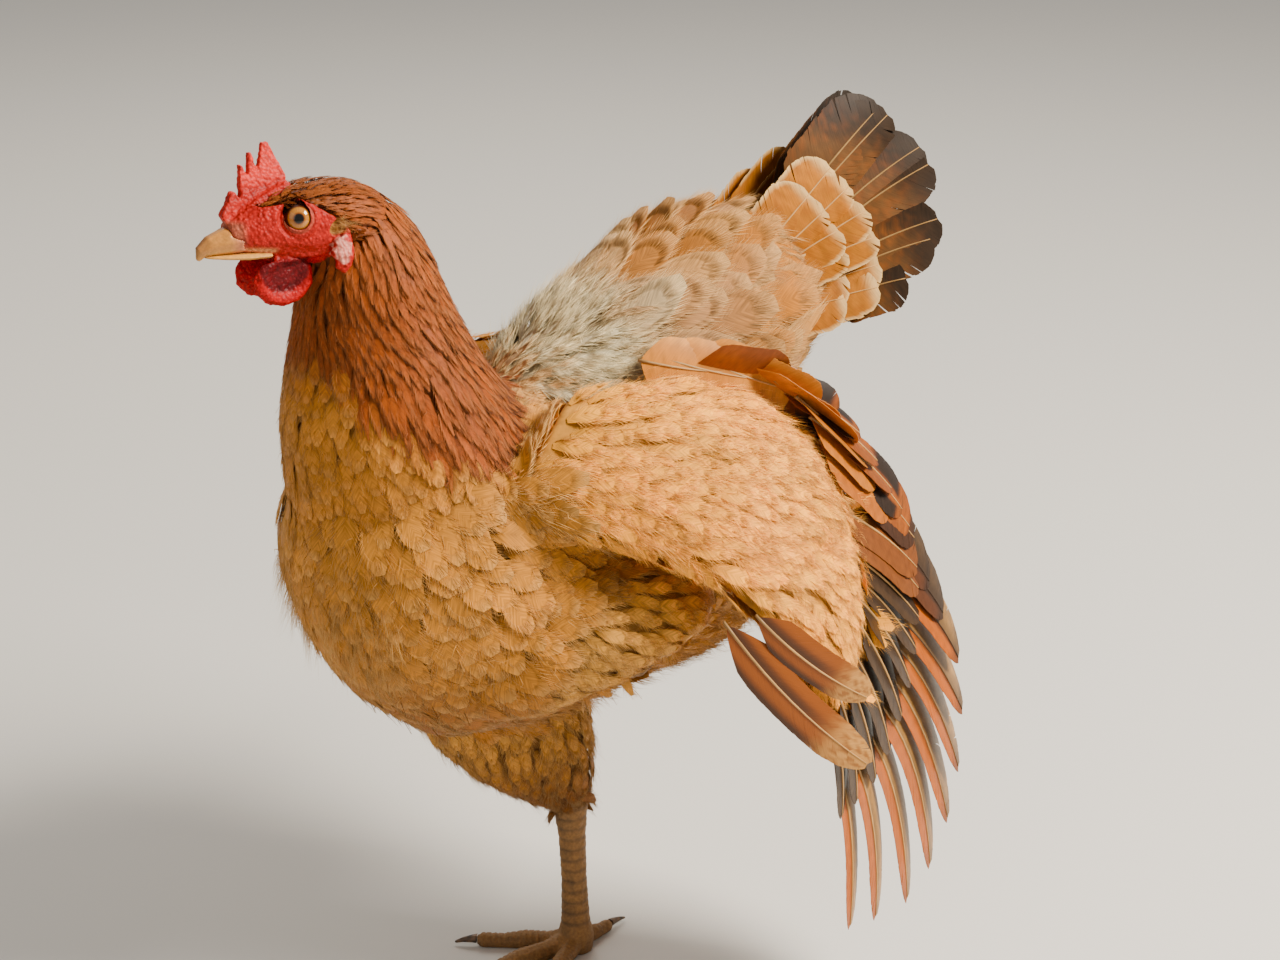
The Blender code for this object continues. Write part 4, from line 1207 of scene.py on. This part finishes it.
def flights(name, keys, count, outward, tilt, colouring, finish, seed, wear, bow, broad=1.0, splits=2, places=None):
    """Flight feathers: a shaft and two webs each, the webs in bands of barbs that part here and there.

    bow is how far the shaft bulges towards the trailing side and broad widens the webs.
    """
    draw = np.random.default_rng(seed)
    rows, outer_ways = read_along(keys, np.linspace(0, len(keys) - 1, count) if places is None else places)
    cell = 1 / (2 * count)  # of the baked map, for one face of a feather
    batches = []
    for k, (row, outer_way) in enumerate(zip(rows, outer_ways)):
        length, spot = arched(draw, row[:3], row[3:6], outer_way, outward, radians(tilt), bow)
        s = ROD[:, 2] * 0.985
        r = SHAFT[0] + (SHAFT[1] - SHAFT[0]) * s
        points = spot(s, ROD[:, 0] * r * 0.8, ROD[:, 1] * r + 0.0001)
        shaft = shaft_colour(colouring, k)
        tones = mix(shaft, shaft * 0.55, ease(0.5, 0.0, s))
        lies = np.stack([s * length, np.full_like(s, k * 0.02), s * 0], -1)
        column = (2 * k + 0.5) / (2 * count)
        flat = np.stack([column + ROD[:, 0] * 0.004 + ROD[:, 1] * 0.003, 0.02 + 0.96 * s], -1)
        batches.append((points, ROD_FACES, np.zeros(len(ROD_FACES), bool), tones, lies, flat[ROD_FACES.ravel()]))
        for side, wide in zip((-1, 1), row[6:] * broad):
            first = np.linspace(0.03, 0.985, BARB_BANDS + 1)
            ends = first + BARB_SLANT * (1 - first**3)
            moved = parted(draw, wear, splits)[:, None]
            q = BAND[:, 0][None]
            v = 0.5 + BAND[:, 1][None] * 1.22
            s_root = first[:-1, None] + np.diff(first)[:, None] * v
            s_end = np.clip(ends[:-1, None] + np.diff(ends)[:, None] * v + moved, 0, 1)
            reach = wide * np.interp(s_end, *np.transpose(QUILL_OUTLINE))
            reach = reach * (1 + draw.normal(0, 0.012 * wear, BARB_BANDS)[:, None])
            s, t = s_root + (s_end - s_root) * q**1.25, reach * (q**0.92)
            drop = -0.14 * (t / wide) ** 2 * wide * (1.0 if side > 0 else 0.7)
            lift = (np.arange(BARB_BANDS) % 2 - 0.5)[:, None] * 0.00002
            jitter = draw.normal(0, 0.00001, BARB_BANDS)[:, None] * q * (1 + 3 * s * wear) + lift
            points = spot(s, side * t, drop + jitter + BAND[:, 2][None] * WEB / BAND_THICK).reshape(-1, 3)
            facing = BAND_FACES[:, ::-1] if side < 0 else BAND_FACES
            rims = np.tile(np.ptp(BAND[facing][:, :, 2], axis=1) > BAND_THICK / 2, BARB_BANDS)
            tones = colouring(k, count, side, s, q + 0 * s, t).reshape(-1, 3)
            lies = np.stack([q * reach, s_root * length + 0.05 * k + 0.5 * (side > 0), s * 0], -1).reshape(-1, 3)
            # the underside has the next column of the map
            flat = np.stack([column + side * t / wide * (0.5 * cell) * 0.9, 0.02 + 0.96 * s], -1)
            under = BAND[:, 2] < -BAND_THICK / 2
            flat = (flat + 0.0008 * under[:, None])[:, facing.ravel()]
            flat = flat + np.repeat(under[facing].all(1), 3)[:, None] * (cell, 0)
            faces = repeated(facing, BARB_BANDS, len(BAND))
            batches.append((points, faces, rims, tones, lies, flat.reshape(-1, 2)))
    return piece_of(name, batches, finish)


def held_back(keys, back, reach, lift, outward, broad):
    """Keys for the coverts over the bases of flight feathers: a share of their length, lifted outwards."""
    away = unit(np.array(outward, float)) * lift
    rows = []
    for k, (root, tip, lead, trail) in enumerate(keys):
        root, tip = np.array(root), np.array(tip) + away * 0.5 * sin(5 * k + 2)
        way = (tip - root) / np.linalg.norm(tip - root)
        end = root + way * (reach + 0.003 * sin(7 * k + 1)) + away
        rows.append((root - way * back + away, end, lead * broad, trail * broad))
    return rows


def mottled(s, t, k, size, seed):
    """Fine mottling on a feather, for each place along and across."""
    where = np.stack([s * 0.09, t, np.full_like(s, k * 0.03)], -1).reshape(-1, 3)
    return ripple(where, size, seed).reshape(s.shape)


def shaft_colour(colouring, k):
    """The colour of the shaft that goes with the webs' colouring."""
    if colouring is primary_tone:
        return mix(DARK * 1.6, QUILL_PALE, ease(2, 7, k))
    return QUILL_PALE * (0.6 if colouring is tail_tone else 1)


# The tones below take a feather's number, how many there are, the side of the web (-1 leads, 1 trails), and for
# each place its share along the feather, its share of the way from shaft to edge, and its metres from the shaft


def primary_tone(k, count, side, s, q, t):
    """Orange-rust leading web, dark beside the shaft; grey-brown trailing web, peppered towards its edge."""
    share = k / (count - 1)
    speck = ease(-0.2, 0.7, mottled(s, t, k, 0.0032, 31))
    if side < 0:
        tone = mix(ORANGE, DARK, ease(0.40, 0.12, q) * ease(0.25, 0.55, s) * (1 - 0.6 * share))
        tone = mix(tone, ORANGE * 0.8, 0.4 * speck)
    else:
        tone = mix(GREY_BROWN, TAN, np.clip(0.20 + 0.45 * q * speck + 0.25 * share, 0, 1))
        tone = mix(tone, DARK, 0.45 * ease(0.45, 0.10, q) * ease(0.3, 0.6, s))
    tone = mix(tone, DARK, (0.85 - 0.6 * share) * ease(0.86, 0.98, s))
    tone = mix(tone, DARK, ease(0.30, 0.12, s) * 0.6)
    return mix(tone, DARK, 0.85 * (k < 2)) * (1 + 0.12 * mottled(s, t, k, 0.006, 30))[..., None]


def secondary_tone(k, count, side, s, q, t):
    """Chestnut webs; some of the feathers have a black, glossy inner part before the rusty end."""
    tone = mix(CHESTNUT, RUST * 1.15, ease(-0.4, 0.8, mottled(s, t, k, 0.012, 32)))
    glossy = 1.0 if k in (2, 3, 6) else 0.25
    tone = mix(tone, DARK * 0.8, glossy * ease(0.10, 0.35, q) * ease(0.35, 0.55, s) * ease(0.96, 0.88, s))
    tone = mix(tone, DARK, 0.7 * ease(0.94, 0.99, s))
    tone = mix(tone, DARK * 0.9, 0.9 * (k == count - 1))
    return tone * (1 + 0.14 * mottled(s, t, k, 0.004, 33))[..., None]


def cover_tone(k, count, side, s, q, t):
    """The dark, rounded coverts over the primaries."""
    tone = mix(mix(DARK, GREY_BROWN, 0.30 * ease(0.3, 0.9, q) + 0.10), RUST, 0.55 * (k < 2))
    return tone * (1 + 0.16 * mottled(s, t, k, 0.005, 37))[..., None]


def buff_cover_tone(k, count, side, s, q, t):
    """The rusty buff coverts over the secondaries, pale along their edge."""
    pale = 0.6 + 0.4 * ease(0.6, 1.0, np.maximum(q, s))
    return mix(RUST * 1.25, COVERT, (0.50 - 0.05 * k) * pale) * (1 + 0.12 * mottled(s, t, k, 0.008, 38))[..., None]


def alula_tone(k, count, side, s, q, t):
    """Dark leading edge, rust web and a speckled tan end."""
    tone = mix(RUST, RUST * 0.85, q)
    if side < 0:
        tone = mix(tone, DARK, 0.85 * ease(0.45, 0.85, q) * ease(0.9, 0.6, s))
    else:
        tone = mix(tone, DARK, 0.85 * ease(0.62, 0.20, q) * ease(0.9, 0.5, s))
    speck = ease(-0.1, 0.6, mottled(s, t, k, 0.0026, 34))
    return mix(tone, mix(TAN, RUST * 0.7, 0.7 * speck), 0.85 * ease(0.66, 0.86, s))


def plume_tone(k, count, side, s, q, t):
    """The rounded plumes over the root of the tail: golden buff, peppered brown, with a cream rim."""
    tone = mix(SADDLE, RUST, 0.35 * ease(-0.1, 0.8, mottled(s, t, k, 0.0030, 39)))
    rim = ease(0.86, 1.0, np.maximum(q * ease(0.2, 0.5, s), s))
    return mix(tone, CREAM, 0.55 * rim) * (1 + 0.12 * mottled(s, t, k, 0.008, 40))[..., None]


def tail_tone(k, count, side, s, q, t):
    """Brown webs, black-brown over the outer half and towards the end, with fine mottling."""
    tone = mix(TAIL_BROWN, TAIL_GREY, 0.92 * ease(0.52, 0.86, s + 0.16 * q * (1 if side > 0 else -0.3)))
    if side > 0:
        tone = mix(tone, TAIL_GREY, 0.35 * ease(0.3, 0.7, s))
    tone = mix(tone, RUST, 0.40 * ease(-0.2, 0.8, mottled(s, t, k, 0.0045, 35)) * ease(0.95, 0.45, s))
    return tone * (1 + 0.14 * mottled(s, t, k, 0.009, 36))[..., None]


VANES = plume_finish("flight_vane", 0.38, 0.0005, 0.12, 0.0, 0.26)
TAIL_VANES = plume_finish("tail_vane", 0.50, 0.0005, 0.14, 0.0, 0.16)
PLUMES = plume_finish("contour_feather", 0.58, 0.0008, 0.34, 0.04, 0.16)
LEFT_OUT, RIGHT_OUT = (0.1, -0.85, 0.5), (0, 1, 0)
FLIGHTS = (
    # piece, solid, keys, count, outward, tilt, colours, wear, bow, broad
    ("wing_left_secondaries", SECONDARIES_LEFT, 9, LEFT_OUT, 12, secondary_tone, 0.5, 0.04, 1.50),
    ("wing_left_primaries", PRIMARIES_LEFT, 10, LEFT_OUT, 12, primary_tone, 0.7, 0.10, 1.80),
    ("wing_left_alula", ALULA_LEFT, 2, LEFT_OUT, 8, alula_tone, 0.6, -0.04, 1.25),
    ("wing_right_secondaries", SECONDARIES_RIGHT, 6, RIGHT_OUT, 13, secondary_tone, 0.5, 0.03, 1.1),
    ("wing_right_primaries", PRIMARIES_RIGHT, 4, RIGHT_OUT, 13, primary_tone, 0.7, 0.03, 1.1),
)
for seed, (name, keys, count, outward, tilt, colouring, wear, bow, broad) in enumerate(FLIGHTS):
    piece = flights(f"{name}_vanes", keys, count, outward, tilt, colouring, VANES, 50 + seed, wear, bow, broad)
    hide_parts(name)
COVERTS = (
    # piece, keys, count, outward, how far back, reach, lift, broad, colours
    ("greater_primary_coverts", PRIMARIES_LEFT, 10, LEFT_OUT, 0.016, 0.040, 0.0024, 1.90, cover_tone),
    ("greater_secondary_coverts", SECONDARIES_LEFT, 10, LEFT_OUT, 0.026, 0.022, 0.0022, 1.75, buff_cover_tone),
    ("right_primary_coverts", PRIMARIES_RIGHT, 4, RIGHT_OUT, 0.012, 0.022, 0.0020, 1.10, cover_tone),
    ("right_secondary_coverts", SECONDARIES_RIGHT, 6, RIGHT_OUT, 0.012, 0.020, 0.0022, 1.15, buff_cover_tone),
)
for seed, (name, keys, count, outward, back, reach, lift, broad, colouring) in enumerate(COVERTS):
    rows = held_back(keys, back, reach, lift, outward, broad)
    piece = flights(name, rows, count, outward, 12, colouring, VANES, 70 + seed, 0.6, 0.03)
TAIL_PLACES = (0.0, 0.25, 0.90, 1.20, 2.0, 2.3, 3.0)  # along the keys: they stand in close groups
TAIL_BASE = ((0.030, 0.026, 0.0060, 1.05), (0.038, 0.008, 0.0095, 1.15))  # how far back, reach, lift, broad
for side, sign in SIDES:
    keys = [((r[0], r[1] * sign, r[2]), (t[0], t[1] * sign, t[2]), lead, trail) for r, t, lead, trail in TAIL_HALF]
    outward, seed = (-0.3, -0.8 * sign, 0.4), 60 + len(side)
    piece = flights(
        f"tail_{side}_vanes", keys, 7, outward, 10, tail_tone, TAIL_VANES, seed, 1.2, 0.03, 1.22, 3, TAIL_PLACES
    )
    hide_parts(f"tail_{side}")
    for k, base in enumerate(TAIL_BASE):
        rows = held_back(keys, *base[:3], outward, base[3])
        name = f"tail_{side}_base_{k}"
        plumes = flights(name, rows, 6, outward, 14, plume_tone, TAIL_VANES, 80 + k, 1.2, 0.02, splits=3)

# ---------------------------------------------------------------- the coat

CENTRES = (HIDE_A + HIDE_B + HIDE_C) / 3
PART_OF_FACE = nearest_of(CENTRES, PARTS)
FACE_FINISH = np.array([face.material_index for face in hide.polygons])  # plumed, bare, scaled
TUCKED_FOOT, FOOT_CLEAR = (-0.012, -0.060, 0.178), 0.018
ON_HEAD = (FACE_FINISH != 2) & (feathered_head(CENTRES) > 0.5)
ON_BODY = (FACE_FINISH == 0) & (np.linalg.norm(CENTRES - TUCKED_FOOT, axis=1) >= FOOT_CLEAR)


def near(centre, reach):
    """The triangles of the skin inside a ball, on either side of her."""
    return np.linalg.norm(CENTRES * (1, 0, 1) - abs(CENTRES) * (0, 1, 0) - centre, axis=1) < reach


x, y, z = CENTRES.T
BACK_OR_UPPER = ((x >= -0.050) & (z >= 0.275)) | (z >= 0.30)
# Where on its part of the skin a piece of the coat grows, if not all over it
WHERE = {
    "hackle_upper": (z > 0.335) & (cape(CENTRES) > 0),
    "hackle_cape": (z <= 0.335) & (cape(CENTRES) > 0),
    "neck_front": cape(CENTRES) <= 0,
    "breast_feathers": (x < -0.050) & (z < 0.30),
    "flank_feathers": (x >= -0.050) & (z < 0.275),
    "back_feathers": BACK_OR_UPPER & (y > -0.052),
    "rump_down": x < 0.006,
    "saddle_plumes": (x >= 0.002) & (x < 0.088),
    "tail_coverts": x >= 0.082,
    "shoulder_feathers": near((-0.066, -0.066, 0.284), 0.026) & (y < 0),
    "wing_left_rear_coverts": (x > 0.048) & (z > 0.255),
    "head_feathers": (x < -0.120) & (ear_cover(CENTRES) < 0.5),
    "nape_feathers": x >= -0.124,
    "ear_tufts": ear_cover(CENTRES) > 0.3,
    "belly_down": (z < 0.190) & (x > -0.06),
    "rump_fluff": x < 0.012,
    "breast_fluff": near((-0.150, -0.035, 0.215), 0.030),
}
UPRIGHT, LEVEL = (0.265, 0, -0.964), (1, 0, 0)
COAT = (
    # piece, part of the skin, kind, spacing, length, half width, tips stand out, edge paleness, axis
    ("hackle_upper", "neck", "hackle", 0.0030, 0.020, 0.0030, 0.0001, 0.15, UPRIGHT),
    ("hackle_cape", "neck", "hackle", 0.0036, 0.028, 0.0038, 0.0006, 0.15, UPRIGHT),
    ("neck_front", "neck", "scale", 0.0048, 0.020, 0.0058, 0.0001, 0.35, UPRIGHT),
    ("breast_feathers", "trunk", "scale", 0.0070, 0.025, 0.0096, 0.0002, 0.50, LEVEL),
    ("flank_feathers", "trunk", "covert", 0.0084, 0.026, 0.0082, 0.0006, 0.40, LEVEL),
    ("back_feathers", "trunk", "worn", 0.0060, 0.024, 0.0050, 0.0010, 0.55, LEVEL),
    ("rump_down", "saddle", "worn", 0.0052, 0.026, 0.0056, 0.0014, 0.3, LEVEL),
    ("saddle_plumes", "saddle", "plume", 0.0104, 0.042, 0.0136, 0.0065, 0.50, LEVEL),
    ("tail_coverts", "saddle", "plume", 0.0112, 0.046, 0.0134, 0.0050, 0.50, LEVEL),
    ("shoulder_feathers", "trunk", "scale", 0.0075, 0.036, 0.0092, 0.0020, 0.6, LEVEL),
    ("wing_left_coverts", "wing_left_arm", "covert", 0.0062, 0.024, 0.0070, 0.0010, 0.35, UPRIGHT),
    ("wing_left_rear_coverts", "wing_left_arm", "covert", 0.0085, 0.028, 0.0092, 0.0006, 0.35, UPRIGHT),
    ("wing_left_hand_coverts", "wing_left_hand", "covert", 0.0060, 0.022, 0.0064, 0.0010, 0.35, UPRIGHT),
    ("wing_right_coverts", "wing_right_arm", "covert", 0.0074, 0.024, 0.0076, 0.0006, 0.30, UPRIGHT),
    ("thigh_left_feathers", "thigh_left", "covert", 0.0058, 0.018, 0.0056, 0.0008, 0.35, LEVEL),
    ("thigh_right_feathers", "thigh_right", "covert", 0.0058, 0.017, 0.0056, 0.0004, 0.35, UPRIGHT),
    ("head_feathers", "head", "tiny", 0.0013, 0.0066, 0.0008, 0.0001, 0.10, UPRIGHT),
    ("nape_feathers", "head", "hackle", 0.0024, 0.0120, 0.0017, 0.0001, 0.10, UPRIGHT),
    ("ear_tufts", "head", "wisp", 0.0016, 0.0066, 0.0024, 0.0010, 0.5, UPRIGHT),
    ("belly_down", "trunk", "wisp", 0.0100, 0.020, 0.014, 0.0030, 0.4, LEVEL),
    ("rump_fluff", "saddle", "wisp", 0.0065, 0.024, 0.013, 0.0030, 0.9, LEVEL),
    ("wing_frizz", "wing_left_arm", "wisp", 0.0090, 0.019, 0.010, 0.0012, 0.6, UPRIGHT),
    ("breast_fluff", "trunk", "wisp", 0.0070, 0.024, 0.010, 0.0060, 0.8, LEVEL),
    ("leg_fluff", "thigh_right", "wisp", 0.0100, 0.017, 0.009, 0.0020, 0.5, UPRIGHT),
)
for seed, (name, part_name, kind, gap, length, half, stand, edge, axis) in enumerate(COAT):
    draw = np.random.default_rng(100 + seed)
    number = PART[part_name]
    keep = (PART_OF_FACE == number) & WHERE.get(name, True) & (ON_HEAD if part_name == "head" else ON_BODY)
    roots = strewn(draw, gap, keep)
    part = np.full(len(roots), number)
    lengths = length * draw.uniform(0.85, 1.15, len(roots))
    widths = half * draw.uniform(0.88, 1.12, len(roots))
    depth = COAT_DEPTH[part_name] * draw.uniform(0.88, 1.04, len(roots))
    standing = stand * draw.uniform(0.2, 1.8, len(roots))
    colours = plumage(roots, part) * draw.uniform(0.92, 1.08, len(roots))[:, None]
    piece = coat(name, kind, roots, part, lengths, widths, depth, standing, colours, edge, axis, draw)

# ---------------------------------------------------------------- stage, light and camera

LIT = (0, 0, 0.25)  # what the lamps point at
AIM, DISTANCE = (0.0721, 0.0472, 0.2199), 1.5  # of the camera
WARM, PALE = (1.0, 0.93, 0.82), (1.0, 0.98, 0.95, 1)  # the light of lamps and sky


def towards(azimuth, elevation):
    """The way from her towards a lamp or the camera, in degrees round from her left and up."""
    azimuth, elevation = radians(azimuth), radians(elevation)
    return Vector((sin(azimuth) * cos(elevation), -cos(azimuth) * cos(elevation), sin(elevation)))


def aimed(name, data, target, away, distance):
    """A lamp or camera at that distance, turned to its target."""
    ob = placed(name, data)
    ob.location = Vector(target) + away * distance
    ob.rotation_euler = away.to_track_quat("Z", "Y").to_euler()
    return ob


def stage():
    """A plain pale floor."""
    bm = bmesh.new()
    bmesh.ops.create_grid(bm, x_segments=1, y_segments=1, size=4)
    floor = placed("floor", made(bm))
    floor.data.materials.append(finish_of("plain_floor", 0.9, Base_Color=(*hex_colour("D9D5CE"), 1))[0])


def lamp(name, azimuth, elevation, distance, size, power):
    """A soft square lamp that points at her."""
    light = bpy.data.lights.new(name, "AREA")
    light.size, light.energy, light.color = size, power, WARM
    aimed(name, light, LIT, towards(azimuth, elevation), distance)


stage()
lamp("key", 38, 42, 1.8, 0.6, 92)
lamp("fill", -80, 25, 2.2, 1.6, 7)
lamp("rim", 150, 40, 2.0, 1.0, 16)
world = bpy.data.worlds.new("studio")
world.use_nodes = True
world.node_tree.nodes["Background"].inputs["Color"].default_value = PALE
world.node_tree.nodes["Background"].inputs["Strength"].default_value = 0.39
bpy.context.scene.world = world

lens = bpy.data.cameras.new("camera")
lens.sensor_width = 36.0
lens.lens = 84.375
bpy.context.scene.camera = aimed("camera", lens, AIM, towards(-35, 20), DISTANCE)
